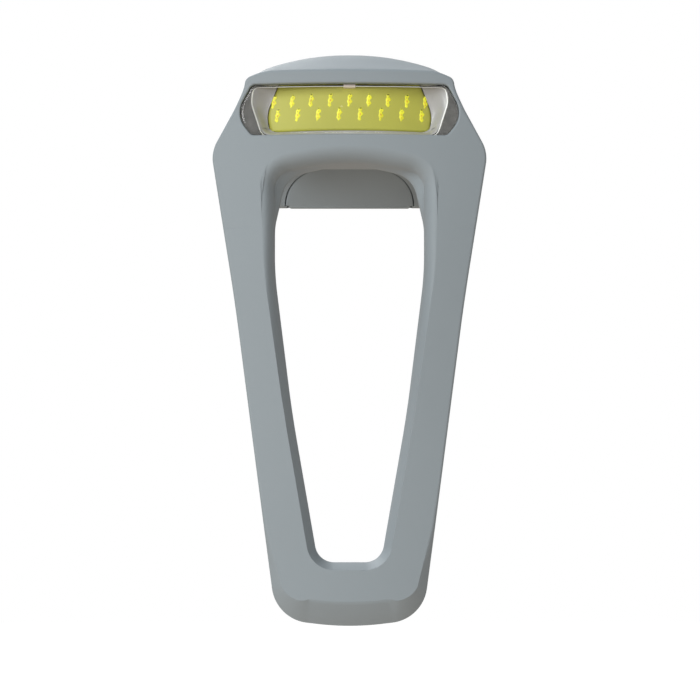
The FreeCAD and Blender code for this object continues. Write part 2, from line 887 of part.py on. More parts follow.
def cell_tab(side):
    """Flat tab on the cell's sealed edge, folded up to the board."""
    x_low = side * tab_x - tab_width / 2.0
    x_high = x_low + tab_width
    z_low = (cell_bottom_z + cell_top_z + cell_seal_thickness) / 2.0 + solder_gap
    y_fold = cell_front_y - tab_fold
    flat = box(x_low, x_high, y_fold, cell_front_y - seat_gap, z_low, z_low + tab_thickness)
    rise = box(x_low, x_high, y_fold, y_fold + tab_thickness, z_low, board_bottom_z - solder_gap)
    return flat.fuse(rise).removeSplitter()


def cell_pad():
    """Foam pad under the cell, on the crest of the core's floor."""
    half = cell_half_width - pad_side_gap
    deep = pad_depth / 2.0
    pad = box(-half, half, -deep, deep, bar_radius, cell_bottom_z - solder_gap)
    return pad.cut(bar_cylinder(core_floor_top + solder_gap, far))


def socket_shell():
    half = socket_width / 2.0
    deep = socket_depth / 2.0
    outer = rounded_slot(half, deep, socket_mouth_z, socket_top_z)
    inner_top = socket_top_z - socket_back_wall
    return outer.cut(rounded_slot(half - socket_wall, deep - socket_wall, 0.0, inner_top))


def socket_tongue():
    """Contact tongue with the block that carries it inside the socket."""
    top = socket_top_z - socket_back_wall - solder_gap
    half = tongue_width / 2.0
    thick = tongue_thickness / 2.0
    low = socket_mouth_z + tongue_set_back
    blade = box(-half, half, socket_y - thick, socket_y + thick, low, top)
    wall = socket_wall + solder_gap
    base = rounded_slot(socket_width / 2.0 - wall, socket_depth / 2.0 - wall, top - tongue_base, top)
    return blade.fuse(base).removeSplitter()


def socket_gasket():
    """Rubber ring between the socket and the core's floor."""
    half = socket_width / 2.0
    deep = socket_depth / 2.0
    low = socket_mouth_z + gasket_set_back
    outer = rounded_slot(half + gasket_width, deep + gasket_width, low, low + gasket_height)
    inner = rounded_slot(half + solder_gap, deep + solder_gap, 0.0, board_bottom_z)
    return outer.common(core_solid(seat_gap)).cut(inner)


def build():
    os.makedirs("parts", exist_ok=True)
    body = outer_body()
    strap = body.common(box(-far, far, -far, far, tip_z - skin, bend_z[0] + knuckle_radius + skin))
    save("silicone_jacket", jacket(body))
    save("button_pad", button_pad())
    save("port_flap", flap_solid())
    for index, name in enumerate(["upper", "middle", "lower"]):
        piece = strap_piece(strap, index)
        for side, low, high in (("left", -far, 0.0), ("right", 0.0, far)):
            save("strap_" + name + "_" + side, piece.common(box(low, high, -far, far, -far, far)))
    save("strap_end", strap_piece(strap, bend_count - 1))
    save("lens", lens())
    save("lens_seal", lens_seal())
    lower, upper = core_halves()
    save("core_lower_shell", lower)
    save("core_upper_shell", upper)
    back = strip_bend_radius - phosphor_thickness
    save("strip_substrate", strip_layer(back - substrate_thickness, back - solder_gap))
    save("strip_phosphor", strip_layer(back, strip_bend_radius).cut(dies(die_gap)))
    save("light_dies", dies(0.0))
    save("strip_bezel", bezel())
    save("status_light", status_light())
    save("heat_spreader", heat_spreader())
    save("strip_ribbon", strip_ribbon())
    save("main_board", main_board())
    save("board_chips", board_chips())
    save("board_screws", board_screws())
    save("switch_body", switch_body())
    save("switch_stem", switch_stem())
    save("battery_cell", cell())
    save("battery_pad", cell_pad())
    save("battery_tab_left", cell_tab(-1.0))
    save("battery_tab_right", cell_tab(1.0))
    save("socket_shell", socket_shell())
    save("socket_tongue", socket_tongue())
    save("socket_gasket", socket_gasket())


build()
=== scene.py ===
import json
import math
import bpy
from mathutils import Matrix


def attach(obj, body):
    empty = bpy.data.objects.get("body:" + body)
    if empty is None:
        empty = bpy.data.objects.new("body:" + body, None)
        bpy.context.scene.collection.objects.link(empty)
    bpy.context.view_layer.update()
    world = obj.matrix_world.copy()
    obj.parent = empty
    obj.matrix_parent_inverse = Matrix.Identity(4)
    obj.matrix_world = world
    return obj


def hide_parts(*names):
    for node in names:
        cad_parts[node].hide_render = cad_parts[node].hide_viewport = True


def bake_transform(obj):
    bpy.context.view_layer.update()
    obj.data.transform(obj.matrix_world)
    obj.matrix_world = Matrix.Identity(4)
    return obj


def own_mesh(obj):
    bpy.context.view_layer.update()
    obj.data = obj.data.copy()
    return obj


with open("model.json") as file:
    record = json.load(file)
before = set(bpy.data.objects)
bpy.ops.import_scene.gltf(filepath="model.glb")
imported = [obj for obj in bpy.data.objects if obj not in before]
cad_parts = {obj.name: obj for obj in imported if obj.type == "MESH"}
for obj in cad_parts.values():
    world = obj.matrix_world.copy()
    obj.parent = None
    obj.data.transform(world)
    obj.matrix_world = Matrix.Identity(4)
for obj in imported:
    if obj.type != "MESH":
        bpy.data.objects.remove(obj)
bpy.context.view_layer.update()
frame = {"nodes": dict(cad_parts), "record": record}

from types import SimpleNamespace

import bpy
import numpy as np
from mathutils import Vector

bl_info = {
    "name": "Strap-on bicycle light",
    "version": (1, 0, 0),
    "blender": (4, 5, 0),
    "location": "3D View > Sidebar > Bicycle light",
    "description": "Builds the visible pieces of a strap-on bicycle light round its CAD frame",
    "category": "Object",
}

MM = 0.001
QUARTER = math.pi / 2.0
SHARP_ANGLE = math.radians(38.0)


# Sizes and looks that can be set. All other sizes in this file are in millimetres.

def millimetres(value, name, description):
    """A length property. Its value is kept in metres, and given here in millimetres."""
    return bpy.props.FloatProperty(
        name=name, description=description, default=value * MM, unit="LENGTH", precision=5
    )


def shade(value, name, description):
    """A colour property."""
    return bpy.props.FloatVectorProperty(
        name=name, description=description, default=value, subtype="COLOR", size=3, min=0.0, max=1.0
    )


def amount(value, name, description):
    """A property from 0 to 1."""
    return bpy.props.FloatProperty(
        name=name, description=description, default=value, min=0.0, max=1.0, subtype="FACTOR"
    )


class HeadShape(bpy.types.PropertyGroup):
    """Sizes of the head."""

    bar_radius: millimetres(11.1, "Bar radius", "Radius of the handlebar and the saddle on it")
    nose_y: millimetres(-16.4, "Nose", "Foremost place of the front face")
    nose_bend: millimetres(70.0, "Nose bend", "Radius of the gently bowed front face")
    strap_back_y: millimetres(-11.3, "Strap back", "Place of the strap's back")
    tail_y: millimetres(12.6, "Tail", "Rearmost place of the head")
    tail_half: millimetres(12.6, "Tail half width", "Half width of the head's rear part")
    tail_corner: millimetres(6.0, "Tail corner", "Rounding of the rear corners seen from above")
    belly_z: millimetres(7.43, "Belly", "Height of the flat belly in front of the saddle")
    crown_reach: millimetres(34.45, "Crown bend", "Radius of the crown's arch across")
    crown_fall: millimetres(1.0, "Crown fall", "How much more the crown falls at its sides")
    brow_start: millimetres(9.5, "Brow start", "Half width where the front's upper edge falls")
    brow_fall: millimetres(0.98, "Brow fall", "How far that edge has fallen at its ends")
    button_half: millimetres(8.0, "Button radius", "Radius of the press area in the crown")
    button_y: millimetres(-3.0, "Button place", "Place of its middle")
    top_half: millimetres(13.25, "Top half width", "Half width of the head at its top")
    edge_round: millimetres(0.3, "Front edge", "Rounding of the front face's outer edge")
    back_round: millimetres(0.5, "Back edge", "Rounding of the strap's back edges")
    corner_round: millimetres(1.05, "Top corner", "Rounding between the crown and the sides")
    low_round: millimetres(1.2, "Low corner", "Rounding between the sides and the saddle")
    tail_round: millimetres(1.8, "Tail edge", "Rounding of the tail's edges")


class StrapShape(bpy.types.PropertyGroup):
    """Sizes of the strap."""

    seam_z: millimetres(-1.0, "Seam", "Height where the head's skin ends and the strap's begins")
    rim_depth: millimetres(2.7, "Rim depth", "Depth of the rounded rim of the opening")
    arch_rim: millimetres(1.9, "Arch rim", "Width of that rim under the head")
    upper_rim: millimetres(1.3, "Upper rim", "Width of that rim at the top of the legs")
    leg_rim: millimetres(1.0, "Leg rim", "Width of that rim along the legs")
    bevel_height: millimetres(3.0, "Tip bevel height", "Height of the bevel under the tip's face")
    bevel_depth: millimetres(2.6, "Tip bevel depth", "Depth of that bevel")
    first_bend_z: millimetres(-5.5, "First bend", "Height of the strap's first bending place")
    bend_spacing: millimetres(11.0, "Bend spacing", "Distance between two bending places")
    bend_room: millimetres(3.5, "Bend room", "Length that bends on each side of such a place")


class WindowShape(bpy.types.PropertyGroup):
    """Sizes of the window and of what is behind it."""

    top_z: millimetres(17.3, "Window top", "Height of the window's upper edge")
    low_z: millimetres(10.8, "Window bottom", "Height of the window's lower edge")
    half: millimetres(12.35, "Window half width", "Half length of the window's straight edges")
    end_half: millimetres(14.45, "Window end", "Half width of the window at its bowed ends")
    end_z: millimetres(13.5, "Window end height", "Height of the bowed ends' widest place")
    edge_round: millimetres(0.22, "Window edge", "Rounding of the silicone round the window")
    recess: millimetres(0.35, "Lens recess", "Depth of the lens's face behind the head's")
    strip_nose_y: millimetres(-14.2, "Strip nose", "Foremost place of the strip of dies")
    strip_bend: millimetres(30.0, "Strip bend", "Radius of the strip's bend")
    strip_half: millimetres(10.8, "Strip half length", "Half length of the strip's lower edge")
    strip_slant: millimetres(1.9, "Strip slant", "How much shorter its upper edge is at each end")
    strip_height: millimetres(6.3, "Strip height", "Height of the strip")
    strip_z: millimetres(14.75, "Strip middle", "Height of the strip's middle")


class Looks(bpy.types.PropertyGroup):
    """Colours and finishes, as linear values."""

    silicone: shade((0.270, 0.319, 0.350), "Silicone", "Colour of the grey silicone")
    silicone_rough: amount(0.62, "Silicone roughness", "Roughness of the silicone")
    gel: shade((0.58, 0.565, 0.09), "Gel", "Colour of the yellow gel")
    pale: shade((0.52, 0.51, 0.53), "Pale frame", "Colour of the frame round the strip")


def settings(name):
    """The values of one group, with lengths in millimetres."""
    group = getattr(bpy.context.scene, name)
    values = {}
    for key, kind in group.bl_rna.properties.items():
        if key not in ("rna_type", "name"):
            value = getattr(group, key)
            is_length = kind.type == "FLOAT" and kind.unit == "LENGTH"
            values[key] = value / MM if is_length else value
    return SimpleNamespace(**values)


# Paths and profiles

def unit_vector(start, end):
    """Direction from start to end, with a length of 1."""
    way = np.subtract(end, start)
    return way / np.hypot(*way)


def unit_rows(ways):
    """Each row of two numbers, brought to a length of 1."""
    return ways / np.hypot(ways[:, 0], ways[:, 1])[:, None]


def rounded_path(corners, steps=40):
    """Open path of straight runs through corners (u, v, radius). Each inner corner is an
    arc that meets both of its runs without a kink. Its centre lies on the line that
    halves the corner, at radius over cosine of half the turn.
    """
    pieces = [np.array([corners[0][:2]])]
    for before, corner, after in zip(corners, corners[1:], corners[2:]):
        middle = np.array(corner[:2])
        way_in = unit_vector(before[:2], middle)
        way_out = unit_vector(middle, after[:2])
        half_turn = math.acos(max(-1.0, min(1.0, float(way_in @ way_out)))) / 2.0
        if corner[2] == 0.0 or half_turn < 1e-6:
            pieces.append(middle[None, :])
            continue
        inward = (way_out - way_in) / np.hypot(*(way_out - way_in))
        centre = middle + inward * corner[2] / math.cos(half_turn)
        sweep = np.linspace(-half_turn, half_turn, steps)[:, None]
        across = (way_in + way_out) / np.hypot(*(way_in + way_out))
        pieces.append(centre + corner[2] * (np.sin(sweep) * across - np.cos(sweep) * inward))
    pieces.append(np.array([corners[-1][:2]]))
    return np.concatenate(pieces)


def lengths_along(path):
    """Distance from the path's start to each of its points."""
    return np.concatenate([[0.0], np.cumsum(np.hypot(*np.diff(path, axis=0).T))])


def point_at(path, distance):
    """Points of the path at these distances from its start."""
    reach = lengths_along(path)
    return np.stack([np.interp(distance, reach, path[:, k]) for k in (0, 1)], axis=-1)


def right_half(path):
    """The path cut off where it crosses the middle plane, with its end on that plane."""
    last = np.argmax(path[:, 0] <= 0.0)
    before, after = path[last - 1], path[last]
    share = before[0] / (before[0] - after[0])
    return np.concatenate([path[:last], (before + (after - before) * share)[None, :]])


def side_normals(points):
    """Unit normals of a path, to the right of its way: its tangent turned a quarter."""
    way = unit_rows(np.gradient(points, axis=0))
    return np.stack([way[:, 1], -way[:, 0]], axis=-1)


def smooth_step(value, low, high):
    """A cubic that rises from 0 at low to 1 at high and is level outside them."""
    share = np.clip((np.asarray(value, float) - low) / (high - low), 0.0, 1.0)
    return share * share * (3.0 - 2.0 * share)


def soft_min(a, b, width):
    """The lesser of two, with a parabola where they differ by less than the width."""
    near = np.clip(width - np.abs(a - b), 0.0, None) / width
    return np.minimum(a, b) - near * near * width / 4.0


def quarter_arc(steps):
    """Inset from the wall and depth behind it round a quarter circle of radius 1, from
    the face (1, 0) to the wall (0, 1).
    """
    turn = np.linspace(0.0, QUARTER, steps)
    return 1.0 - np.sin(turn), 1.0 - np.cos(turn)


def edge_profile(steps, flat):
    """Inset and depth, as shares, from a wall (0, 1) round an edge to a face (1, 0). It is
    a quarter of an ellipse where flat is 0, and nearly a straight bevel where it is 1.
    """
    depth, inset = quarter_arc(steps)
    share = np.linspace(0.0, 1.0, steps)
    flat = np.asarray(flat, float)[..., None]
    return (1.0 - flat) * inset + flat * share, (1.0 - flat) * depth + flat * (1.0 - share)


def full_turn(steps):
    """Angles spread evenly round a circle."""
    return np.linspace(0.0, 2.0 * math.pi, steps + 1)[:-1]


def between(start, end, shares):
    """Rows from start to end at these shares, as a list."""
    return [start + (end - start) * share for share in shares]


def lay(flat, y):
    """Points of a ring in the front view at depth y."""
    return np.stack([flat[:, 0], np.broadcast_to(y, len(flat)), flat[:, 1]], axis=-1)


def bow_y(x, shape):
    """Depth of the bowed front face at x: a circle about an upright axis."""
    return shape.nose_y + shape.nose_bend - np.sqrt(shape.nose_bend ** 2 - x ** 2)


def lay_bowed(flat, depth, shape):
    """Points of a ring in the front view at this depth behind the bowed front face."""
    return lay(flat, bow_y(flat[:, 0], shape) + depth)


# Meshes

def make_piece(name, parts):
    """Mesh object from parts (points, faces) in millimetres, with smooth shading between
    faces that meet at less than the sharp angle.
    """
    points, faces, first = [], [], 0
    for part_points, part_faces in parts:
        points.append(np.asarray(part_points, float) * MM)
        faces.extend([[index + first for index in face] for face in part_faces])
        first += len(part_points)
    mesh = bpy.data.meshes.new(name)
    mesh.from_pydata(np.concatenate(points).tolist(), [], faces)
    mesh.validate()
    mesh.update()
    mesh.polygons.foreach_set("use_smooth", np.ones(len(mesh.polygons), dtype=bool))
    mesh.set_sharp_from_angle(angle=SHARP_ANGLE)
    piece = bpy.data.objects.new(name, mesh)
    bpy.context.scene.collection.objects.link(piece)
    face_outwards(mesh)
    return piece


def face_outwards(mesh):
    """Turns all faces round if the closed mesh has a negative volume."""
    mesh.calc_loop_triangles()
    corners = np.empty(len(mesh.vertices) * 3)
    mesh.vertices.foreach_get("co", corners)
    index = np.empty(len(mesh.loop_triangles) * 3, dtype=np.int32)
    mesh.loop_triangles.foreach_get("vertices", index)
    a, b, c = corners.reshape(-1, 3)[index.reshape(-1, 3)].transpose(1, 0, 2)
    if np.einsum("ij,ij->", a, np.cross(b, c)) < 0.0:
        mesh.flip_normals()


def grid_faces(rows, columns):
    """Four-sided faces of a grid of rows by columns, whose columns wrap round."""
    index = np.arange(rows * columns).reshape(rows, columns)
    across = np.roll(index, -1, axis=1)
    faces = np.stack([index[:-1], across[:-1], across[1:], index[1:]], axis=-1)
    return faces.reshape(-1, 4).tolist()


def closed_tube(rings):
    """Points and faces of a tube of rings (rows, columns, 3), closed at each end by a fan
    round the mean of its end ring.
    """
    rows, columns, _ = rings.shape
    ends = rings[[0, -1]].mean(axis=1)
    step = np.arange(columns)
    after = np.roll(step, -1)
    base = (rows - 1) * columns
    low = np.stack([np.full(columns, rows * columns), after, step], axis=-1)
    high = np.stack([np.full(columns, rows * columns + 1), base + step, base + after], axis=-1)
    faces = grid_faces(rows, columns) + low.tolist() + high.tolist()
    return np.concatenate([rings.reshape(-1, 3), ends]), faces


def flat_end_tube(rings):
    """Points and faces of a tube of rings, closed at each end by one flat face."""
    rows, columns, _ = rings.shape
    base = (rows - 1) * columns
    ends = [list(range(columns))[::-1], list(range(base, base + columns))]
    return rings.reshape(-1, 3), grid_faces(rows, columns) + ends


def frame_part(profile):
    """Closed frame: rings of one outline each, joined in turn and back to the first."""
    rings = np.array(profile)
    rows, columns, _ = rings.shape
    faces = np.array(grid_faces(rows + 1, columns)) % (rows * columns)
    return rings.reshape(-1, 3), faces.tolist()


# Outlines of the front view, right half. Their corners are (x, z, rounding).

OUTER_CORNERS = (
    (17.5, 8.85, 4.3), (14.4, -10.3, 300.0), (9.15, -49.9, 4.9), (0.0, -51.02, 35.0), (-9.15, -49.9, 4.9),
)
LOOP_CORNERS = ((-3.95, -42.85, 2.4), (3.95, -42.85, 2.4), (7.25, -24.0, 150.0), (9.45, -6.5, 40.0))
RIM_ARCH = ((9.45, 6.2, 2.4), (0.0, 7.87, 30.0), (-9.45, 6.2, 2.4))
BACK_ARCH = ((9.45, -0.4, 8.0), (8.0, 5.9, 3.5), (0.0, 7.87, 15.0), (-8.0, 5.9, 3.5))


def outer_path(shape):
    """Head and strap, from the top's corner down the side to the middle of the tip."""
    top = ((shape.top_half, 24.5, 0.0), (shape.top_half, 16.5, 12.0))
    return right_half(rounded_path(top + OUTER_CORNERS))


def inner_path(shape, arch=BACK_ARCH):
    """Opening between the legs, from the middle of its lower end up to the arch, whose
    corners are tight behind the rim and wide at the strap's back.
    """
    path = rounded_path(LOOP_CORNERS + arch)
    ends = [[0.0, LOOP_CORNERS[0][1]]], [[0.0, shape.belly_z]]
    return np.concatenate([ends[0], path[path[:, 0] > 0.0], ends[1]])


def height_lookup(path, z):
    """Half width of a path at these heights."""
    order = np.argsort(path[:, 1], kind="stable")
    return np.interp(z, path[order, 1], path[order, 0])


def window_path(grow, window):
    """Right half of the window's outline, from its top's middle to its bottom's middle."""
    top, low = window.top_z + grow, window.low_z - grow
    half = window.half + grow * 0.55
    return rounded_path([
        (0.0, top, 0.0), (half, top, 0.9 + grow),
        (window.end_half + grow * 1.1, window.end_z, 3.2 + grow),
        (half, low, 0.9 + grow), (0.0, low, 0.0),
    ])


# Surfaces of the head

# Heights of the front's upper edge and of the crown. Then the place of the tail's lip, as
# an angle from upright round the bar, and its slope.
NOSE_Z, CROWN_Z = 19.0, 23.0
LIP_ANGLE, LIP_SLOPE = math.radians(64.0), 0.3
MEAN_STEPS = 15


def crown_side(y, shape):
    """Height of the crown in the side view: a brow, a gentle top and a tail."""
    side = rounded_path([
        (-18.0, 18.0, 0.0), (shape.nose_y, NOSE_Z, 0.6), (-10.6, 22.0, 16.0),
        (-4.0, CROWN_Z, 40.0), (6.0, CROWN_Z, 24.0), (shape.tail_y + 3.0, 19.78, 0.0),
    ])
    return np.interp(y, side[:, 0], side[:, 1])


def crown_arch(x, shape):
    """How far the full arch lowers the crown at x: a circle and a cubic."""
    arch = shape.crown_reach - np.sqrt(shape.crown_reach ** 2 - x ** 2)
    return arch + shape.crown_fall * np.abs(x / shape.top_half) ** 3


def crown_fade(y, shape):
    """Share of the crown's arch at y, so that the crown's side edge runs in one line from
    the front edge's height to the arch's foot and stays level from there to the tail.
    """
    full = crown_arch(shape.top_half, shape)
    line = NOSE_Z + (CROWN_Z - full - NOSE_Z) * smooth_step(y, shape.nose_y, -3.0)
    return np.clip((crown_side(y, shape) - line) / full, 0.0, 1.0)


def top_height(x, y, shape):
    """Height of the crown: its side view less its arch and a parabola beside the brow."""
    past = np.clip(np.abs(x) - shape.brow_start, 0.0, None) / (shape.top_half - shape.brow_start)
    arch = crown_arch(x, shape) * crown_fade(y, shape)
    return crown_side(y, shape) - arch - shape.brow_fall * past ** 2


def crown_slope(x, y, shape):
    """Slope of the crown across at x: the sum of its arch's and its parabola's slopes,
    with the circle's taken as x over its radius.
    """
    slope = x / shape.crown_reach + 3.0 * shape.crown_fall * x ** 2 / shape.top_half ** 3
    room = shape.top_half - shape.brow_start
    brow = 2.0 * shape.brow_fall * np.clip(x - shape.brow_start, 0.0, None) / room ** 2
    return crown_fade(y, shape) * slope + brow


def bottom_height(y, shape):
    """Height of the underside: the flat belly, the saddle's arc and the tail's lip. Two
    running means of 0.75 mm round its corners.
    """
    step = np.arange(-20.0, 16.0, 0.05)
    radius = shape.bar_radius
    arc = np.sqrt(np.clip(radius ** 2 - step ** 2, 0.0, None))
    front = -math.sqrt(radius ** 2 - shape.belly_z ** 2)
    rear, rear_z = radius * math.sin(LIP_ANGLE), radius * math.cos(LIP_ANGLE)
    lip = rear_z + (step - rear) * LIP_SLOPE
    raw = np.where(step < front, shape.belly_z, np.where(step < rear, arc, lip))
    kernel = np.ones(MEAN_STEPS) / MEAN_STEPS
    smooth = np.convolve(np.pad(raw, MEAN_STEPS - 1, mode="edge"), kernel, "valid")
    return np.interp(y, step, np.convolve(smooth, kernel, "valid"))


# Strap

BACK_STEPS, OUTER_STEPS, INNER_STEPS = 5, 8, 11
FACE_SHARES = np.array([0.015, 0.06, 0.15, 0.27, 0.4, 0.5, 0.6, 0.73, 0.85, 0.94, 0.985])
# Height where the rings start to fan out round the tip. Then, for both outlines, the
# height where the tip's corner starts and how far before the middle it ends.
FAN_Z = -38.5
OUTER_TURN, INNER_TURN = (-46.2, 5.5), (-40.9, 2.0)


def rim_width(z, strap):
    """Width of the opening's rim by height: wide at the arch, narrower down the legs."""
    widths = [strap.leg_rim, strap.upper_rim, 1.65, strap.arch_rim]
    return np.interp(z, [-24.0, -6.5, 2.0, 7.4], widths)


def rim_flatness(z):
    """Flatness of that rim by height: nearly a bevel down the legs, round at the arch."""
    return 0.8 - 0.72 * smooth_step(z, -22.0, 2.0)


def band_rings(outer, inner, outer_way, inner_way, bevel, rim, shape):
    """Closed rings across the strap. At each place one ring runs from the back's outer
    edge round the side, over the outer bevel, the bowed face and the rim of the opening
    to the back's inner edge. outer and inner are the places on the two outlines, the ways
    point into the silicone, and bevel and rim are (width, depth, flatness) along them.
    """
    curl, sink = quarter_arc(BACK_STEPS)
    curl, y_back = shape.back_round * curl, shape.strap_back_y - shape.back_round * sink
    curl, y_back = (np.tile(values, (len(outer), 1)) for values in (curl, y_back))

    def wall(base, way, width, depth, flat, steps):
        """One side of the rings, from the back's rounded edge to the end of the front's."""
        inset, share = edge_profile(steps, flat)
        inset = inset * width[:, None]
        y_front = bow_y(base[:, :1] + way[:, :1] * inset, shape) + share * depth[:, None]
        middle = (y_back[:, -1:] + y_front[:, :1]) / 2.0
        inset = np.concatenate([curl, np.zeros_like(middle), inset], axis=1)
        xz = base[:, None, :] + way[:, None, :] * inset[..., None]
        y = np.concatenate([y_back, middle, y_front], axis=1)
        return np.stack([xz[..., 0], y, xz[..., 1]], axis=-1)

    out = wall(outer, outer_way, *bevel, OUTER_STEPS)
    ins = wall(inner, inner_way, *rim, INNER_STEPS)[:, ::-1]
    face = out[:, -1:] + (ins[:, :1] - out[:, -1:]) * FACE_SHARES[None, :, None]
    face[..., 1] = bow_y(face[..., 0], shape)
    shares = np.linspace(0.0, 1.0, 8)[1:-1]
    rear = ins[:, -1:] + (out[:, :1] - ins[:, -1:]) * shares[None, :, None]
    return np.concatenate([out, face, ins, rear], axis=1)


def leg_rings(heights, shape, strap):
    """Rings across the right leg at these heights, each in a level plane."""
    outer, inner = (
        np.stack([height_lookup(path, heights), heights], axis=-1)
        for path in (outer_path(shape), inner_path(shape))
    )
    ones, zeros = np.ones(len(heights)), np.zeros(len(heights))
    outwards = np.stack([ones, zeros], axis=-1)
    edge = ones * shape.edge_round
    rim = rim_width(heights, strap), ones * strap.rim_depth, rim_flatness(heights)
    return band_rings(outer, inner, -outwards, outwards, (edge, edge, zeros), rim, shape)


def mirror_rings(rings):
    """The same rings on the left, each turned round so that its faces look outwards."""
    flipped = rings * np.array([-1.0, 1.0, 1.0])
    return flipped[:, ::-1]


def tip_rings(start_z, shape, strap):
    """Rings from the right leg round the tip to the left leg. The places on the two
    outlines are paired at the start, at the fan's start, at both corners and in the
    middle. The bevel grows from the rounded edge of the legs to its full height.
    """
    share = np.linspace(0.0, 1.0, 84)
    turn_in = smooth_step(share, 0.05, 0.3)[:, None]

    def side(path, corner, sign):
        """Places on an outline and their ways into the silicone, level at the start."""
        corner_z, before_end = corner
        reach = lengths_along(path)
        starts = [float(np.interp(-z, -path[:, 1], reach)) for z in (start_z, FAN_Z, corner_z)]
        keys = [*starts, reach[-1] - before_end, reach[-1]]
        places = point_at(path, np.interp(share, [0.0, 0.3, 0.52, 0.74, 1.0], keys))
        way = sign * side_normals(places)
        way[-1] = (0.0, sign)
        return places, unit_rows(way * turn_in + np.array([-sign, 0.0]) * (1.0 - turn_in))

    outer, outer_way = side(outer_path(shape), OUTER_TURN, 1.0)
    inner, inner_way = side(inner_path(shape)[::-1], INNER_TURN, -1.0)
    edge = shape.edge_round
    slope = np.degrees(np.arctan2(outer_way[:, 1], -outer_way[:, 0]))
    width = np.where(
        outer[:, 1] > OUTER_TURN[0],
        np.interp(-outer[:, 1], [33.0, 38.5, 42.0, 46.2], [edge, 0.42, 0.75, 1.25]),
        np.interp(slope, [8.0, 40.0, 83.0, 90.0], [1.25, 2.05, 2.95, strap.bevel_height]),
    )
    grown = np.clip((width - edge) / (strap.bevel_height - edge), 0.0, 1.0)
    depth = edge + (strap.bevel_depth - edge) * grown ** 0.8
    ones = np.ones(len(share))
    rings = band_rings(
        outer, inner, outer_way, inner_way, (width, depth, 0.9 * smooth_step(grown, 0.0, 0.25)),
        (ones * strap.leg_rim, ones * strap.rim_depth, rim_flatness(outer[:, 1])), shape,
    )
    return np.concatenate([rings, mirror_rings(rings)[::-1][1:, ::-1]])


# Head. Its columns are, in turn: crown, corner, side, leg's side, leg's foot and arch.

HEAD_COLUMNS = (38, 9, 44, 18, 12, 46)
UPPER, FOOT, ARCH = (sum(HEAD_COLUMNS[:count]) for count in (3, 4, 5))
FRONT_HALF = 18.95
SIDE_BLEND = 1.2
BUTTON_RECESS = 0.6
# Rounding of the low corner at the front, the share of the leg's columns that it takes
# up, and the run inwards that the rest of them make below it
LOW_EDGE, LOW_SHARE, LOW_RUN = 0.5, 0.4, 0.5
# Depth of the window's floor, and how much of the window's outline on each side of the
# middle belongs to the crown above and to the arch below
FLOOR_Y, WINDOW_RUN = -10.5, 11.4


def head_columns():
    """Shares along each part of the head's right half, one for each of its columns."""
    shares = [np.arange(count) / count for count in HEAD_COLUMNS]
    shares[-1] = np.linspace(0.0, 1.0, HEAD_COLUMNS[-1] + 1)
    return shares


def spread(x, weight):
    """Shares that fall from 1 to 0, by this weight as x falls and for the rest evenly."""
    return weight * x / x[0] + (1.0 - weight) * np.linspace(1.0, 0.0, len(x))


def section(y, drop, shape):
    """Right half of the head's cross-section at these depths y, one row each: the crown,
    a rounded corner, the side, a rounded lower corner and the underside. drop takes the
    crown down and the underside up, for the tail's rounded edge.
    """
    top_s, corner_s, side_s, leg_s, foot_s, arch_s = head_columns()
    y, drop = np.asarray(y, float)[:, None], np.asarray(drop, float)[:, None]
    plan = rounded_path([
        (-30.0, FRONT_HALF, 0.0), (-9.5, FRONT_HALF, 8.0), (-0.5, shape.tail_half, 8.0),
        (shape.tail_y, shape.tail_half, shape.tail_corner), (shape.tail_y, 0.0, 0.0),
    ])
    last = np.argmax(plan[:, 0] >= shape.tail_y - 1e-9) + 1
    half = np.interp(y, plan[:last, 0], plan[:last, 1])
    outline = outer_path(shape)

    radius = shape.corner_round
    wide = soft_min(half, shape.top_half, SIDE_BLEND)
    lean = np.arctan(crown_slope(wide - radius, y, shape))
    last_x = wide - radius + radius * np.sin(lean)
    crown_x = last_x * top_s
    from_button = np.hypot(crown_x, y - shape.button_y)
    rim = smooth_step(from_button, shape.button_half - 1.2, shape.button_half - 0.2)
    crown_z = top_height(crown_x, y, shape) - drop - BUTTON_RECESS * (1.0 - rim)
    centre_z = top_height(last_x, y, shape) - drop - radius * np.cos(lean)
    turn = lean + (QUARTER - lean) * corner_s
    corner_x = wide - radius + radius * np.sin(turn)
    corner_z = centre_z + radius * np.cos(turn)

    floor = bottom_height(y, shape) + drop
    low_radius = LOW_EDGE + (shape.low_round - LOW_EDGE) * smooth_step(y, -11.0, -8.0)
    side_low = floor + low_radius
    side_z = centre_z + (side_low - centre_z) * side_s
    side_x = soft_min(height_lookup(outline, side_z), half, SIDE_BLEND)
    side_x = side_x + (wide - side_x[:, :1]) * (1.0 - smooth_step(side_s, 0.0, 0.3))
    foot_x = soft_min(height_lookup(outline, side_low), half, SIDE_BLEND)
    turn = QUARTER * np.minimum(leg_s / LOW_SHARE, 1.0)
    run = LOW_RUN * np.clip(leg_s - LOW_SHARE, 0.0, None) / (1.0 - LOW_SHARE)
    low_x = foot_x - low_radius + low_radius * np.cos(turn) - run
    low_z = side_low - low_radius * np.sin(turn)
    arch_x = arch_points(arch_s, shape, BACK_ARCH)[:, 0]
    share = spread(np.concatenate([leg_bottom_x(foot_s, shape), arch_x]), 0.7)
    under_x = (foot_x - low_radius - LOW_RUN) * share
    x = np.concatenate([crown_x, corner_x, side_x, low_x, under_x], axis=1)
    z = [crown_z, corner_z, side_z, low_z, np.broadcast_to(floor, under_x.shape)]
    return np.stack([x, np.broadcast_to(y, x.shape), np.concatenate(z, axis=1)], axis=-1)


def leg_bottom_x(share, shape):
    """Places across the leg at the seam, from its outer side to its inner side."""
    seam_z = settings("light_strap").seam_z
    outer, inner = (float(height_lookup(path(shape), seam_z)) for path in (outer_path, inner_path))
    return outer + (inner - outer) * share


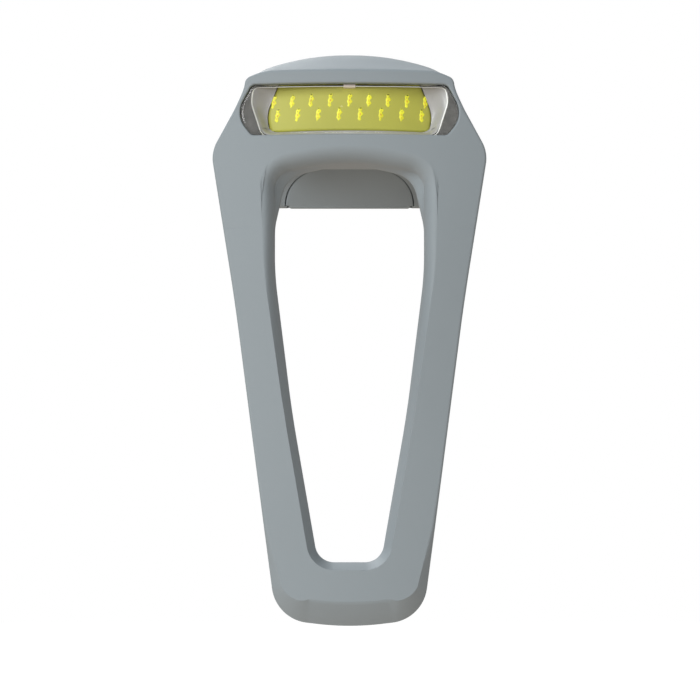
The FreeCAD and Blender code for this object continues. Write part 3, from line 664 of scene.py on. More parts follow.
def arch_points(share, shape, arch):
    """Places on the opening's outline from the seam up the leg to the middle of the arch."""
    path = inner_path(shape, arch)
    reach = lengths_along(path)
    start = float(np.interp(settings("light_strap").seam_z, path[:, 1], reach))
    return point_at(path, start + (reach[-1] - start) * share)


def front_base(shape, strap):
    """The head's outline in the front view at its back and at its rim, column by column,
    with the way into the silicone, the edge's width, depth and flatness, and how much a
    column is crown or arch rather than leg.
    """
    top_s, _, _, leg_s, foot_s, arch_s = head_columns()
    base = section([shape.nose_y + 0.4], [0.0], shape)[0][:, [0, 2]]
    low = shape.belly_z + LOW_EDGE
    leg_z = low + (strap.seam_z - low) * leg_s ** 1.5
    base[UPPER:FOOT] = np.stack([height_lookup(outer_path(shape), leg_z), leg_z], axis=-1)
    base[FOOT:ARCH, 0] = leg_bottom_x(foot_s, shape)
    base[FOOT:ARCH, 1] = strap.seam_z
    base[ARCH:] = arch_points(arch_s, shape, BACK_ARCH)
    rim = base.copy()
    rim[ARCH:] = arch_points(arch_s, shape, RIM_ARCH)
    way = side_normals(rim)
    way[:len(top_s)] = (0.0, -1.0)
    levelled = (slice(UPPER - 12, FOOT), -1.0, (0.0, 6.0)), (slice(ARCH, None), 1.0, (-0.8, 2.0))
    for part, sign, heights in levelled:
        level = 1.0 - smooth_step(base[part, 1], *heights)[:, None]
        way[part] = way[part] * (1.0 - level) + np.array([sign, 0.0]) * level
    way[-1] = (0.0, 1.0)
    width, depth = np.full((2, len(base)), shape.edge_round)
    flat, merged = np.zeros((2, len(base)))
    width[ARCH:] = rim_width(rim[ARCH:, 1], strap)
    depth[ARCH:] = strap.rim_depth
    flat[ARCH:] = rim_flatness(rim[ARCH:, 1])
    merged[:UPPER] = 1.0
    merged[UPPER:FOOT] = 1.0 - smooth_step(leg_s, 0.0, LOW_SHARE)
    merged[ARCH:] = smooth_step(base[ARCH:, 1], 2.0, shape.belly_z)
    return base, rim, unit_rows(way), width, depth, flat, merged


def head_rings(shape, strap, window):
    """Rings of the head from the middle of its tail over the crown and the saddle to the
    strap's back, round the front face's edges, across the face to the window, into the
    window and to the middle of its floor. Each ring is mirrored to the left half.
    """
    base, rim, way, width, depth, flat, merged = front_base(shape, strap)
    _, _, side_s, _, foot_s, _ = head_columns()
    tail, tail_round = shape.tail_y, shape.tail_round
    sink, drop = (tail_round * arc[::-1] for arc in quarter_arc(9))
    y = np.concatenate([
        tail - sink, np.linspace(tail - tail_round - 0.3, 9.0, 8), np.linspace(8.5, -7.0, 29),
        np.linspace(-7.25, -9.25, 9), np.linspace(-9.6, shape.strap_back_y, 5),
    ])
    pod = section(y, np.concatenate([drop, np.zeros(len(y) - len(drop))]), shape)
    end = pod[0]
    middle = np.array([0.0, tail, (end[0, 2] + end[-1, 2]) / 2.0])
    rows = [between(middle, end, (0.25, 0.6, 0.85)), pod]
    seam_x = float(height_lookup(outer_path(shape), strap.seam_z))

    def on_front(inset, y, near=1.0):
        """Rings of the front's columns at these insets and depths, on the back's outline
        where near is 0 and on the rim's where it is 1. The leg's foot runs straight.
        """
        outline = base[None] + (rim - base)[None] * np.reshape(near, (-1, 1, 1))
        xz = outline + way[None] * inset[..., None]
        ring = np.stack([xz[..., 0], y, xz[..., 1]], axis=-1)
        top = section(np.clip(y[:, 0], shape.nose_y + 0.02, None), np.zeros(len(y)), shape)
        share = np.concatenate([np.ones(UPPER - len(side_s)), 1.0 - smooth_step(side_s, 0.0, 0.5)])
        for axis, column in ((0, 0), (2, 1)):
            ring[:, :UPPER, axis] += (top[:, :UPPER, axis] - base[None, :UPPER, column]) * share
        a, b = ring[:, FOOT - 1].copy(), ring[:, ARCH].copy()
        a[:, 2] = strap.seam_z
        a[:, 0] += seam_x - base[FOOT - 1, 0]
        ring[:, FOOT:ARCH] = a[:, None] + (b - a)[:, None] * foot_s[None, :, None]
        line = bow_y(a[:, :1], shape) * (1.0 - foot_s) + bow_y(b[:, :1], shape) * foot_s
        ring[:, FOOT:ARCH, 1] += bow_y(ring[:, FOOT:ARCH, 0], shape) - line
        return ring

    curl, sink = (shape.back_round * np.outer(arc, 1.0 - merged) for arc in quarter_arc(BACK_STEPS))
    go = np.linspace(0.0, 1.0, BACK_STEPS)
    y_back = shape.strap_back_y - sink - np.outer(0.2 + 0.3 * go, merged)
    rows.append(on_front(curl, y_back, 0.0))
    shares = np.array([0.15, 0.3, 0.45, 0.6, 0.75, 0.9])[:, None]
    y_side = y_back[-1] * (1.0 - shares) + (bow_y(base[:, 0], shape) + depth) * shares
    rows.append(on_front(np.zeros(y_side.shape), y_side, smooth_step(shares, 0.0, 1.0)))
    inset, share = edge_profile(INNER_STEPS, flat)
    inset = (inset * width[:, None]).T
    y_edge = bow_y(rim[:, 0] + way[:, 0] * inset, shape) + (share * depth[:, None]).T
    edge = on_front(inset, y_edge)
    rows.append(edge)

    goal = lay(window_columns(window, window.edge_round, base), 0.0)
    shares = (0.02, 0.08, 0.18, 0.3, 0.42, 0.54, 0.66, 0.77, 0.87, 0.94, 0.98)
    face = np.array([edge[-1] * (1.0 - share) + goal * share for share in shares])
    face[..., 1] = bow_y(face[..., 0], shape)
    rows.append(face)
    lip = []
    for out, sink in zip(*quarter_arc(5)):
        xz = window_columns(window, window.edge_round * out, base)
        lip.append(lay_bowed(xz, window.edge_round * sink, shape))
    wall = lip[-1]
    inner = []
    for share, wider in ((0.25, 0.12), (0.6, 0.4), (1.0, 0.6)):
        xz = window_columns(window, wider, base)
        xz[:, 0] = np.minimum(xz[:, 0], wall[:, 0])
        inner.append(lay(xz, wall[:, 1] * (1.0 - share) + FLOOR_Y * share))
    middle = np.array([0.0, FLOOR_Y, (window.top_z + window.low_z) / 2.0])
    floor = [inner[-1] * (1.0 - share) + middle * share for share in (0.3, 0.7)]
    half = np.concatenate([*rows, lip, inner, floor])
    left = half[:, 1:-1][:, ::-1] * np.array([-1.0, 1.0, 1.0])
    return np.concatenate([half, left], axis=1)


def window_columns(window, grow, base):
    """Places on the window's outline that belong to the head's columns: the crown's to
    the upper edge, the side's and the leg's to the bowed end, the arch's to the lower.
    """
    path = window_path(grow, window)
    whole = lengths_along(path)[-1]
    top = HEAD_COLUMNS[0]
    return point_at(path, np.concatenate([
        WINDOW_RUN * np.arange(top) / top,
        WINDOW_RUN + (whole - 2.0 * WINDOW_RUN) * np.arange(ARCH - top) / (ARCH - top),
        whole - WINDOW_RUN * spread(base[ARCH:, 0], 0.6),
    ]))


# Blocks, hook, button and flap

HOOK_HALF = 3.5
CAP_LOW_Z = 21.2
CAP_LIFT = 0.008
SOCKET_Y, SOCKET_HALF = 8.03, 2.15
# The flap's hinge: an angle from upright round the bar's axis and a distance from it
HINGE_ANGLE, HINGE_REACH = math.radians(62.0), 11.7
HINGE_Y, HINGE_Z = HINGE_REACH * math.sin(HINGE_ANGLE), HINGE_REACH * math.cos(HINGE_ANGLE)
# The flap's half width, its seam's distance to the hinge, and the half width over which
# the seam is straight
FLAP_HALF, FLAP_REACH, FLAP_STRAIGHT = 8.6, 6.6, 2.0


def rounded_block(outline, levels, radius, axis):
    """Closed prism of an outline between two levels of an axis, with rounded edges: rings
    whose inset follows a quarter circle at both ends. outline is its points in the other
    two axes, and their ways inwards.
    """
    points, ways = outline
    out, sink = quarter_arc(5)
    inset = radius * np.concatenate([out, sink])
    level = np.concatenate([levels[0] + radius * sink, levels[1] - radius * out])
    flat = points[None] + ways[None] * inset[:, None, None]
    level = np.broadcast_to(level[:, None], flat.shape[:2])
    return flat_end_tube(np.insert(flat, axis, level, axis=-1))


def closed_outline(corners, steps=12):
    """Closed path of a rounded polygon with its inward unit normals."""
    path = rounded_path(corners + corners[:2], steps)[1:-1]
    path = path[np.hypot(*np.diff(np.concatenate([path, path[:1]]), axis=0).T) > 1e-6]
    way = unit_rows(np.roll(path, -1, axis=0) - np.roll(path, 1, axis=0))
    area = np.sum(path[:, 0] * np.roll(path[:, 1], -1) - np.roll(path[:, 0], -1) * path[:, 1])
    return path, np.stack([-way[:, 1], way[:, 0]], axis=-1) * (1.0 if area > 0.0 else -1.0)


def box_corners(low_u, high_u, low_v, high_v, radius):
    """Corners of a rectangle with one rounding."""
    places = (low_u, low_v), (high_u, low_v), (high_u, high_v), (low_u, high_v)
    return [(*place, radius) for place in places]


def hook_part(shape):
    """Hook behind the head: its side outline, extruded across with rounded edges."""
    root = shape.tail_y - 1.0
    outline = closed_outline([
        (root, 7.0, 0.0), (19.3, 7.0, 1.6), (19.3, 12.8, 0.9), (17.3, 12.8, 0.9),
        (17.3, 9.8, 0.8), (root, 9.8, 0.0),
    ])
    return rounded_block(outline, (-HOOK_HALF, HOOK_HALF), 0.5, 0)


def tab_part(shape):
    """Small pale tab of the status light behind the lens's upper edge: a rounded block
    between two depths.
    """
    outline = closed_outline(box_corners(-0.76, 0.76, 16.95, 17.36, 0.1), 5)
    return rounded_block(outline, (shape.nose_y + 1.37, shape.nose_y + 2.4), 0.08, 1)


def slot_cutter():
    """Rounded upright hole for the charging socket, through the floor of the head."""
    corners = box_corners(-5.0, 5.0, SOCKET_Y - SOCKET_HALF, SOCKET_Y + SOCKET_HALF, 2.1)
    outline, _ = closed_outline(corners, 10)
    return flat_end_tube(np.array([np.insert(outline, 2, z, axis=-1) for z in (8.4, 17.6)]))


def cap_part(shape):
    """Middle of the crown as a lid of its own: rings about the button's axis on the
    crown's surface, a short wall, and a flat underside.
    """
    reach = shape.button_half * np.concatenate([np.linspace(0.04, 1.0, 26), [1.0, 0.5]])[:, None]
    turn = full_turn(72)
    x = reach * np.cos(turn)
    y = shape.button_y + reach * np.sin(turn)
    z = top_height(x, y, shape) + CAP_LIFT
    z[-2:] = CAP_LOW_Z
    return closed_tube(np.stack([x, y, z], axis=-1))


def cut(piece, cutters):
    """Cuts closed shapes out of a piece and removes them."""
    for cutter in cutters:
        change = piece.modifiers.new("cut", "BOOLEAN")
        change.operation = "DIFFERENCE"
        change.solver = "EXACT"
        change.object = cutter
    view = bpy.context.evaluated_depsgraph_get()
    mesh = bpy.data.meshes.new_from_object(piece.evaluated_get(view))
    old = piece.data
    piece.modifiers.clear()
    piece.data = mesh
    mesh.name = piece.name
    bpy.data.meshes.remove(old)
    for cutter in cutters:
        shape = cutter.data
        bpy.data.objects.remove(cutter)
        bpy.data.meshes.remove(shape)
    mesh.set_sharp_from_angle(angle=SHARP_ANGLE)


def saddle_plate(shape, grow, r_low, r_high, edge):
    """Closed curved plate in the saddle between two radii, from its hinge to a seam that
    keeps one distance to the hinge and turns round at both ends. Its rings run along the
    seam and back along the hinge, with edges rounded by a quarter circle, and its two
    ends are closed by faces straight across.
    """
    x = (FLAP_HALF + grow) * np.sin(np.linspace(-1.0, 1.0, 61) * QUARTER * 0.985)
    reach = FLAP_REACH + grow
    past = np.clip(np.abs(x) - FLAP_STRAIGHT, 0.0, reach * 0.999)
    chord = np.sqrt(reach ** 2 - past ** 2) / (2.0 * (shape.bar_radius + 0.3))
    half = np.arcsin(np.clip(chord, 0.0, 1.0))
    middle = HINGE_ANGLE - half
    out, sink = (edge * arc for arc in quarter_arc(4))
    rings = []
    for take, r in zip(np.concatenate([out, sink]), np.concatenate([r_low + sink, r_high - out])):
        shrink = np.clip(1.0 - take / (r * np.maximum(half, 1e-3)), 0.02, 1.0)
        angle = np.concatenate([middle - half * shrink, (middle + half * shrink)[::-1]])
        across = np.concatenate([x, x[::-1]]) * (1.0 - take / FLAP_HALF)
        rings.append(np.stack([across, r * np.sin(angle), r * np.cos(angle)], axis=-1))
    rings = np.array(rings)
    rows, columns, _ = rings.shape
    faces = grid_faces(rows, columns)
    step = np.arange(columns // 2 - 1)
    strip = np.stack([step, step + 1, columns - 2 - step, columns - 1 - step], axis=-1)
    faces += strip[:, ::-1].tolist() + (strip + (rows - 1) * columns).tolist()
    return rings.reshape(-1, 3), faces


def hinge_bar(radius, half):
    """Round bar along the flap's hinge with rounded ends: circles whose radius follows a
    quarter circle.
    """
    turn = np.linspace(0.15, QUARTER, 6)
    end, r = half + radius * np.cos(turn), radius * np.sin(turn)
    x = np.concatenate([-end, end[::-1]])[:, None]
    r = np.concatenate([r, r[::-1]])[:, None]
    around = full_turn(32)
    rings = np.broadcast_arrays(x, HINGE_Y + r * np.cos(around), HINGE_Z + r * np.sin(around))
    return closed_tube(np.stack(rings, axis=-1))


# Window parts

# Depths of the pieces' backs, and depths behind the bowed front face
LENS_BACK_Y, BEZEL_BACK_Y, STRIP_BACK_Y = -14.3, -10.7, -10.5
WALL_DEPTH, BEAD_DEPTH, BEZEL_DEPTH = 1.05, 1.45, 1.6
LENS_THICK = 1.0
EDGE_BEAD = 0.35
DIE_ROWS = ((9, 2.45, 15.5), (8, 2.66, 13.72))
DIE_MARKS = {
    "foot": ((0.0, 0.86, 0.27),),
    "core": ((-0.06, 0.24, 0.11), (-0.42, 0.12, 0.08)),
    "top": ((0.72, 0.09, 0.12), (0.38, 0.09, 0.05)),
}


def closed_ring(path, count=72):
    """Closed ring from the right half of an outline: evenly spaced places, and the same
    places mirrored.
    """
    half = point_at(path, np.linspace(0.0, lengths_along(path)[-1], count + 1))
    return np.concatenate([half, half[1:-1][::-1] * np.array([-1.0, 1.0])])


def window_ring(grow, window):
    """The window's outline, grown by this much."""
    return closed_ring(window_path(grow, window))


def sight_ring(grow, window, lift=0.0):
    """Inner outline of the lens's walls, which leans inwards to the bottom at each end."""
    top = window.top_z - 0.2 + lift + grow
    low = window.low_z + 0.08 - grow
    return closed_ring(rounded_path([
        (0.0, top, 0.0), (12.2 + grow, top, 0.7 + grow), (12.5 + grow, 15.2, 3.0),
        (11.1 + grow, low, 1.3 + grow), (0.0, low, 0.0),
    ]))


def strip_ring(grow, window):
    """Outline of the strip of dies, with rounded corners."""
    high = window.strip_z + window.strip_height / 2.0 + grow
    low = window.strip_z - window.strip_height / 2.0 - grow
    half = window.strip_half + grow
    return closed_ring(rounded_path([
        (0.0, high, 0.0), (half - window.strip_slant, high, 0.5 + grow),
        (half, low + 1.6, 4.0), (half - 0.9, low, 1.5 + grow), (0.0, low, 0.0),
    ]))


def strip_y(x, window):
    """Depth of the strip's face: a circle about an upright axis behind it."""
    return window.strip_nose_y + window.strip_bend - np.sqrt(window.strip_bend ** 2 - x ** 2)


def lens_plate(shape, window):
    """Clear face of the lens: rings from the middle of its bowed front over a rounded
    edge to the middle of its bowed back.
    """
    centre = np.array([0.0, (window.top_z + window.low_z) / 2.0])
    flats = [(flat, 0.0) for flat in between(
        centre, window_ring(-0.25, window), (0.08, 0.25, 0.45, 0.65, 0.82, 0.93, 0.98)
    )]
    for out, sink in zip(*quarter_arc(5)):
        flats.append((window_ring(-0.05 - 0.2 * out, window), 0.2 * sink))
    for out, sink in zip(*quarter_arc(4)):
        flats.append((window_ring(-0.05 - 0.15 * sink, window), LENS_THICK - 0.15 * out))
    for flat in between(centre, window_ring(-0.2, window), (0.9, 0.7, 0.5, 0.3, 0.1)):
        flats.append((flat, LENS_THICK))
    rings = [lay_bowed(flat, window.recess + depth, shape) for flat, depth in flats]
    return closed_tube(np.array(rings))


def lens_walls_painted_shade(shape, window):
    """Side walls behind the lens's face: a frame whose front is hollowed by a sine. Its dark colour with
    strong streaky changes is painted shade and painted reflections, standing in for the clear walls.
    """
    outer, inner = window_ring(-0.06, window), sight_ring(0.0, window)
    rings = [lay(outer, LENS_BACK_Y)]
    for share in (0.0, 0.12, 0.3, 0.5, 0.7, 0.88, 1.0):
        depth = window.recess + WALL_DEPTH + 0.5 * math.sin(share * math.pi)
        rings.append(lay_bowed(outer + (inner - outer) * share, depth, shape))
    rings.append(lay(sight_ring(0.08, window), LENS_BACK_Y))
    return frame_part(rings)


def painted_edge_highlight(shape, window):
    """Painted highlight on the lens's inner edge: a pale, glowing round bead carried along that outline,
    thicker at the bottom and thinner at the top.
    """
    middle = sight_ring(0.0, window)
    way = unit_rows(np.roll(middle, -1, axis=0) - np.roll(middle, 1, axis=0))
    out = np.stack([way[:, 1], -way[:, 0]], axis=-1)
    low = 1.0 - smooth_step(middle[:, 1], window.low_z, window.low_z + 1.6)
    high = smooth_step(middle[:, 1], window.top_z - 1.0, window.top_z - 0.2)
    bead = 0.12 + 0.11 * low - 0.08 * high
    rings = []
    for turn in full_turn(10):
        flat = middle + out * (bead * (math.cos(turn) - low))[:, None]
        rings.append(lay(flat, bow_y(middle[:, 0], shape) + BEAD_DEPTH + bead * math.sin(turn)))
    return frame_part(rings)


def bezel_part(shape, window):
    """Pale frame round the strip: from the lens's inner outline it dishes back to the
    strip by a squared sine and closes behind it.
    """
    outer, hole = sight_ring(-0.12, window, 0.9), strip_ring(0.05, window)
    rim_y = bow_y(outer[:, 0], shape) + BEZEL_DEPTH
    fall = strip_y(hole[:, 0], window) - 0.1 - rim_y
    rings = [lay(outer, BEZEL_BACK_Y), lay(outer, rim_y)]
    for share in (0.15, 0.35, 0.6, 0.85, 1.0):
        deep = rim_y + fall * math.sin(share * QUARTER) ** 2
        rings.append(lay(outer + (hole - outer) * share, np.minimum(deep, BEZEL_BACK_Y - 0.05)))
    rings.append(lay(hole, BEZEL_BACK_Y))
    return frame_part(rings)


def gel_part(window):
    """Yellow gel strip: rings from the middle of its bent face out over a soft bead at
    its edge and round to its back.
    """
    centre = np.array([0.0, window.strip_z])
    shares = (0.06, 0.2, 0.35, 0.5, 0.65, 0.78, 0.88, 0.95)
    face = between(centre, strip_ring(-EDGE_BEAD, window), shares)
    rings = [lay(flat, strip_y(flat[:, 0], window)) for flat in face]
    for out, sink in zip(*quarter_arc(6)):
        flat = strip_ring(-EDGE_BEAD * out, window)
        rings.append(lay(flat, strip_y(flat[:, 0], window) + 0.3 * sink))
    back = [(strip_ring(0.0, window), 0.32, STRIP_BACK_Y - 0.02)]
    for flat in between(centre, strip_ring(-0.5, window), (1.0, 0.6, 0.25)):
        back.append((flat, 0.4, STRIP_BACK_Y))
    for flat, deep, limit in back:
        rings.append(lay(flat, np.maximum(strip_y(flat[:, 0], window) + deep, limit)))
    return closed_tube(np.array(rings))


def die_marks(window, kind):
    """Marks of the dies under the gel: flat wavy drops in two staggered rows, each a
    squashed sphere whose width and sideways place swing along its height. DIE_ROWS are
    (count, pitch, height), DIE_MARKS are (middle, half height, half width).
    """
    parts = []
    theta = np.linspace(0.08, math.pi - 0.08, 15)[:, None]
    phi = full_turn(12)
    bend = window.strip_bend
    front = 0.05 if kind == "foot" else 0.065
    for count, pitch, z in DIE_ROWS:
        for column in range(count):
            angle = (column - (count - 1) / 2.0) * pitch / bend
            twist = column * 1.7 + z
            for middle, half, wide in DIE_MARKS[kind]:
                up = middle + half * np.cos(theta)
                width = wide * math.cos(angle) * (1.0 + 0.35 * np.sin(9.0 * up + twist))
                lean = 0.10 * up * (1.0 - 2.0 * math.sin(angle)) + 0.05 * np.sin(7.0 * up + twist)
                x = bend * math.sin(angle) + lean + width * np.sin(theta) * np.cos(phi)
                y = strip_y(x, window) - 0.01 + front * np.sin(theta) * np.sin(phi)
                parts.append(closed_tube(np.stack(np.broadcast_arrays(x, y, z + up), axis=-1)))
    return parts


# Materials

def set_inputs(node, **values):
    """Sets a node's inputs. Underscores stand for the spaces in their names."""
    for name, value in values.items():
        node.inputs[name.replace("_", " ")].default_value = value


def add_node(tree, kind, **values):
    """Adds a shader node and sets its inputs."""
    node = tree.nodes.new("ShaderNode" + kind)
    set_inputs(node, **values)
    return node


def wire(tree, *wires):
    """Links each (node, output, node, input)."""
    for source, output, target, entry in wires:
        tree.links.new(source.outputs[output], target.inputs[entry])


def new_material(name):
    """A new material with its node tree, its first shader and its output."""
    material = bpy.data.materials.new(name)
    material.use_nodes = True
    nodes = material.node_tree.nodes
    return material, material.node_tree, nodes["Principled BSDF"], nodes["Material Output"]


def surface(
    name, colour, rough, metal=0.0, grain=900.0, variation=0.06, bump=0.03, sheen=0.0, coat=0.0, glow=0.0
):
    """Moulded or metal surface: noise on the object's own coordinates varies the colour and the roughness,
    and a finer one gives the bump. Glow makes it shine in its own colour: painted light on parts that are
    no lamp.
    """
    material, tree, shader, _ = new_material(name)
    place = add_node(tree, "TexCoord")
    cloud = add_node(tree, "TexNoise", Scale=grain * 0.12, Detail=3.0)
    ramp = add_node(tree, "ValToRGB")
    stops = zip(ramp.color_ramp.elements, (0.3, 0.7), (1.0 - variation, 1.0 + variation))
    for element, position, factor in stops:
        element.position = position
        element.color = (*(min(channel * factor, 1.0) for channel in colour), 1.0)
    span = add_node(tree, "MapRange", To_Min=max(rough - 0.05, 0.02), To_Max=min(rough + 0.05, 1.0))
    fine = add_node(tree, "TexNoise", Scale=grain * 6.0, Detail=2.0)
    lift = add_node(tree, "Bump", Strength=bump, Distance=0.0001)
    set_inputs(
        shader, Metallic=metal, Sheen_Weight=sheen, Sheen_Roughness=0.5, Coat_Weight=coat,
        Coat_Roughness=0.08, Emission_Color=(*colour, 1.0), Emission_Strength=glow,
    )
    wire(
        tree, (place, "Object", cloud, "Vector"), (cloud, "Fac", ramp, "Fac"),
        (ramp, "Color", shader, "Base Color"), (cloud, "Fac", span, "Value"),
        (span, "Result", shader, "Roughness"), (place, "Object", fine, "Vector"),
        (fine, "Fac", lift, "Height"), (lift, "Normal", shader, "Normal"),
    )
    return material


def clear_material(name):
    """Clear plastic: mostly see-through, with gloss on its outer side that grows towards
    its edges by a Fresnel factor.
    """
    material, tree, shader, output = new_material(name)
    tree.nodes.remove(shader)
    through = add_node(tree, "BsdfTransparent", Color=(0.97, 0.98, 0.975, 1.0))
    gloss = add_node(tree, "BsdfGlossy", Roughness=0.06)
    fresnel = add_node(tree, "Fresnel", IOR=1.42)
    place = add_node(tree, "TexCoord")
    wave = add_node(tree, "TexNoise", Scale=220.0)
    lift = add_node(tree, "Bump", Strength=0.02, Distance=0.0002)
    side = add_node(tree, "NewGeometry")
    front, share = add_node(tree, "Math"), add_node(tree, "Math")
    front.operation, share.operation = "SUBTRACT", "MULTIPLY"
    front.inputs[0].default_value = 1.0
    mix = add_node(tree, "MixShader")
    wire(
        tree, (place, "Object", wave, "Vector"), (wave, "Fac", lift, "Height"),
        (lift, "Normal", gloss, "Normal"), (side, "Backfacing", front, 1),
        (fresnel, "Fac", share, 0), (front, "Value", share, 1), (share, "Value", mix, "Fac"),
        (through, "BSDF", mix, 1), (gloss, "BSDF", mix, 2), (mix, "Shader", output, "Surface"),
    )
    return material


def silicone_material():
    """Soft matt silicone, made once: fine grain, a faint sheen and slow colour changes."""
    name = "silicone skin"
    if name in bpy.data.materials:
        return bpy.data.materials[name]
    looks = settings("light_looks")
    finish = tuple(looks.silicone), looks.silicone_rough
    return surface(name, *finish, grain=420.0, variation=0.02, bump=0.06, sheen=0.08)


def paint(piece, material):
    """Gives a piece this material alone."""
    piece.data.materials.clear()
    piece.data.materials.append(material)


def dress(name, parts, material, node, slot, body=None):
    """Makes a piece that replaces a node, with its material and the body it rides. The slot is not used."""
    piece = make_piece(name, parts)
    paint(piece, material)
    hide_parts(node)
    if body:
        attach(piece, body)
    return piece


# Operators

class BuildHead(bpy.types.Operator):
    """Silicone jacket of the head with its hook, flap pocket and socket hole"""

    bl_idname = "light.head"
    bl_label = "Head"

    def execute(self, context):
        shape = settings("light_head")
        rings = head_rings(shape, settings("light_strap"), settings("light_window"))
        jacket = silicone_material(), "silicone_jacket", "silicone", "head"
        head = dress("head_skin", [closed_tube(rings)], *jacket)
        hollow = saddle_plate(shape, grow=0.14, r_low=10.6, r_high=12.5, edge=0.05)
        pocket = make_piece("pocket", [hollow])
        room = make_piece("room", [hinge_bar(radius=0.68, half=8.0)])
        cut(head, [pocket, room, make_piece("slot", [slot_cutter()])])
        dress("hook_skin", [hook_part(shape)], *jacket)
        return {"FINISHED"}


class BuildStrap(bpy.types.Operator):
    """Looped strap: two legs in three lengths each, and the end bar with its bevel"""

    bl_idname = "light.strap"
    bl_label = "Strap"

    def execute(self, context):
        shape, strap = settings("light_head"), settings("light_strap")
        bends = [strap.first_bend_z - strap.bend_spacing * step for step in range(4)]
        top = strap.seam_z
        pieces = []
        for index, name in enumerate(("upper", "middle", "lower")):
            low = (bends[index] + bends[index + 1]) / 2.0
            rings = leg_rings(np.linspace(top, low, 22), shape, strap)
            pieces.append((index, name + "_right", rings))
            pieces.append((index, name + "_left", mirror_rings(rings)))
            top = low
        pieces.append((3, "end", tip_rings(top, shape, strap)))
        for index, name, rings in pieces:
            skin, node = "strap_skin_" + name, "strap_" + name
            piece = dress(skin, [flat_end_tube(rings)], silicone_material(), node, "silicone")
            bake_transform(piece)
        return {"FINISHED"}


class BuildButton(bpy.types.Operator):
    """Press area in the middle of the crown, as a lid of its own on the head"""

    bl_idname = "light.button"
    bl_label = "Button"

    def execute(self, context):
        parts = [cap_part(settings("light_head"))]
        piece = dress("button_skin", parts, silicone_material(), "button_pad", "silicone", "head")
        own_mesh(piece)
        return {"FINISHED"}


class BuildFlap(bpy.types.Operator):
    """Flap of the charging socket, in the saddle under the head"""

    bl_idname = "light.flap"
    bl_label = "Flap"

    def execute(self, context):
        shape = settings("light_head")
        radius = shape.bar_radius
        plate = saddle_plate(shape, grow=0.0, r_low=radius + 0.03, r_high=radius + 1.15, edge=0.14)
        parts = [plate, hinge_bar(radius=0.54, half=7.8)]
        dress("flap_skin", parts, silicone_material(), "port_flap", "silicone", "flap")
        return {"FINISHED"}


class BuildLens(bpy.types.Operator):
    """Clear lens: its bowed face, its side walls in painted shade and reflections, and a painted highlight
    along their inner edge
    """

    bl_idname = "light.lens"
    bl_label = "Lens"

    def execute(self, context):
        # Dark, streaked walls: painted shade and painted reflections in place of what clear walls would
        # show.
        wall = surface(
            "lens wall", (0.08, 0.078, 0.073), 0.16, grain=2600.0, variation=0.7, bump=0.2, coat=1.0
        )
        # Pale, glowing bead: a painted highlight along the lens's inner edge.
        edge = surface(
            "lens edge", (0.95, 0.95, 0.94), 0.2, grain=1500.0, variation=0.15, coat=1.0, glow=0.3
        )
        for name, part, material in (
            ("lens_face", lens_plate, clear_material("clear plastic")),
            ("lens_walls_painted_shade", lens_walls_painted_shade, wall),
            ("lens_edge_painted_highlight", painted_edge_highlight, edge),
        ):
            parts = [part(settings("light_head"), settings("light_window"))]
            dress(name, parts, material, "lens", "clear_plastic", "head")
        return {"FINISHED"}


class BuildStrip(bpy.types.Operator):
    """Strip of dies: yellow gel, the marks of the dies and the pale frame round them"""

    bl_idname = "light.strip"
    bl_label = "Strip of dies"

    def execute(self, context):
        shape, window, looks = settings("light_head"), settings("light_window"), settings("light_looks")
        gel = surface("gel", tuple(looks.gel), 0.5, grain=700.0, variation=0.05, bump=0.05)
        dark = surface("die top", (0.10, 0.09, 0.02), 0.3, grain=4000.0, variation=0.6, coat=0.5)
        # The cores and feet keep their own orange and yellow; their glow is painted light that makes them
        # brighter than the lamps do.
        core = surface("die core", (0.95, 0.50, 0.03), 0.4, grain=6000.0, variation=0.4, glow=0.15)
        foot = surface("die foot", (0.97, 0.90, 0.04), 0.4, grain=6000.0, variation=0.3, glow=0.25)
        tab = surface("status tab", (0.90, 0.80, 0.76), 0.35, grain=900.0, variation=0.05)
        pale = surface("pale frame", tuple(looks.pale), 0.35, grain=900.0, variation=0.08, coat=0.2)
        for name, parts, material, node, slot in (
            ("gel_strip", [gel_part(window)], gel, "strip_phosphor", "phosphor"),
            ("die_tops", die_marks(window, "top"), dark, "light_dies", "die"),
            ("die_cores", die_marks(window, "core"), core, "light_dies", "die"),
            ("die_feet", die_marks(window, "foot"), foot, "light_dies", "die"),
            ("status_skin", [tab_part(shape)], tab, "status_light", "bezel_plastic"),
            ("bezel_skin", [bezel_part(shape, window)], pale, "strip_bezel", "bezel_plastic"),
        ):
            dress(name, parts, material, node, slot, "head")
        return {"FINISHED"}


# Colour, roughness and metal of the inner parts, by their material slot
INNER_FINISHES = {
    "core_plastic": ((0.035, 0.035, 0.038), 0.5, 0.0),
    "seal_rubber": ((0.03, 0.03, 0.03), 0.7, 0.0),
    "bare_aluminium": ((0.66, 0.66, 0.67), 0.35, 1.0),
    "bezel_plastic": ((0.80, 0.72, 0.68), 0.35, 0.0),
    "ribbon_film": ((0.45, 0.20, 0.05), 0.4, 0.0),
    "board_laminate": ((0.02, 0.16, 0.07), 0.4, 0.0),
    "chip_plastic": ((0.03, 0.03, 0.03), 0.5, 0.0),
    "screw_steel": ((0.55, 0.55, 0.56), 0.3, 1.0),
    "switch_metal": ((0.60, 0.60, 0.60), 0.3, 1.0),
    "stem_plastic": ((0.06, 0.06, 0.06), 0.5, 0.0),
    "cell_foil": ((0.62, 0.62, 0.63), 0.35, 1.0),
    "foam": ((0.10, 0.10, 0.11), 0.9, 0.0),
    "nickel": ((0.62, 0.60, 0.56), 0.3, 1.0),
    "socket_steel": ((0.64, 0.64, 0.65), 0.28, 1.0),
}


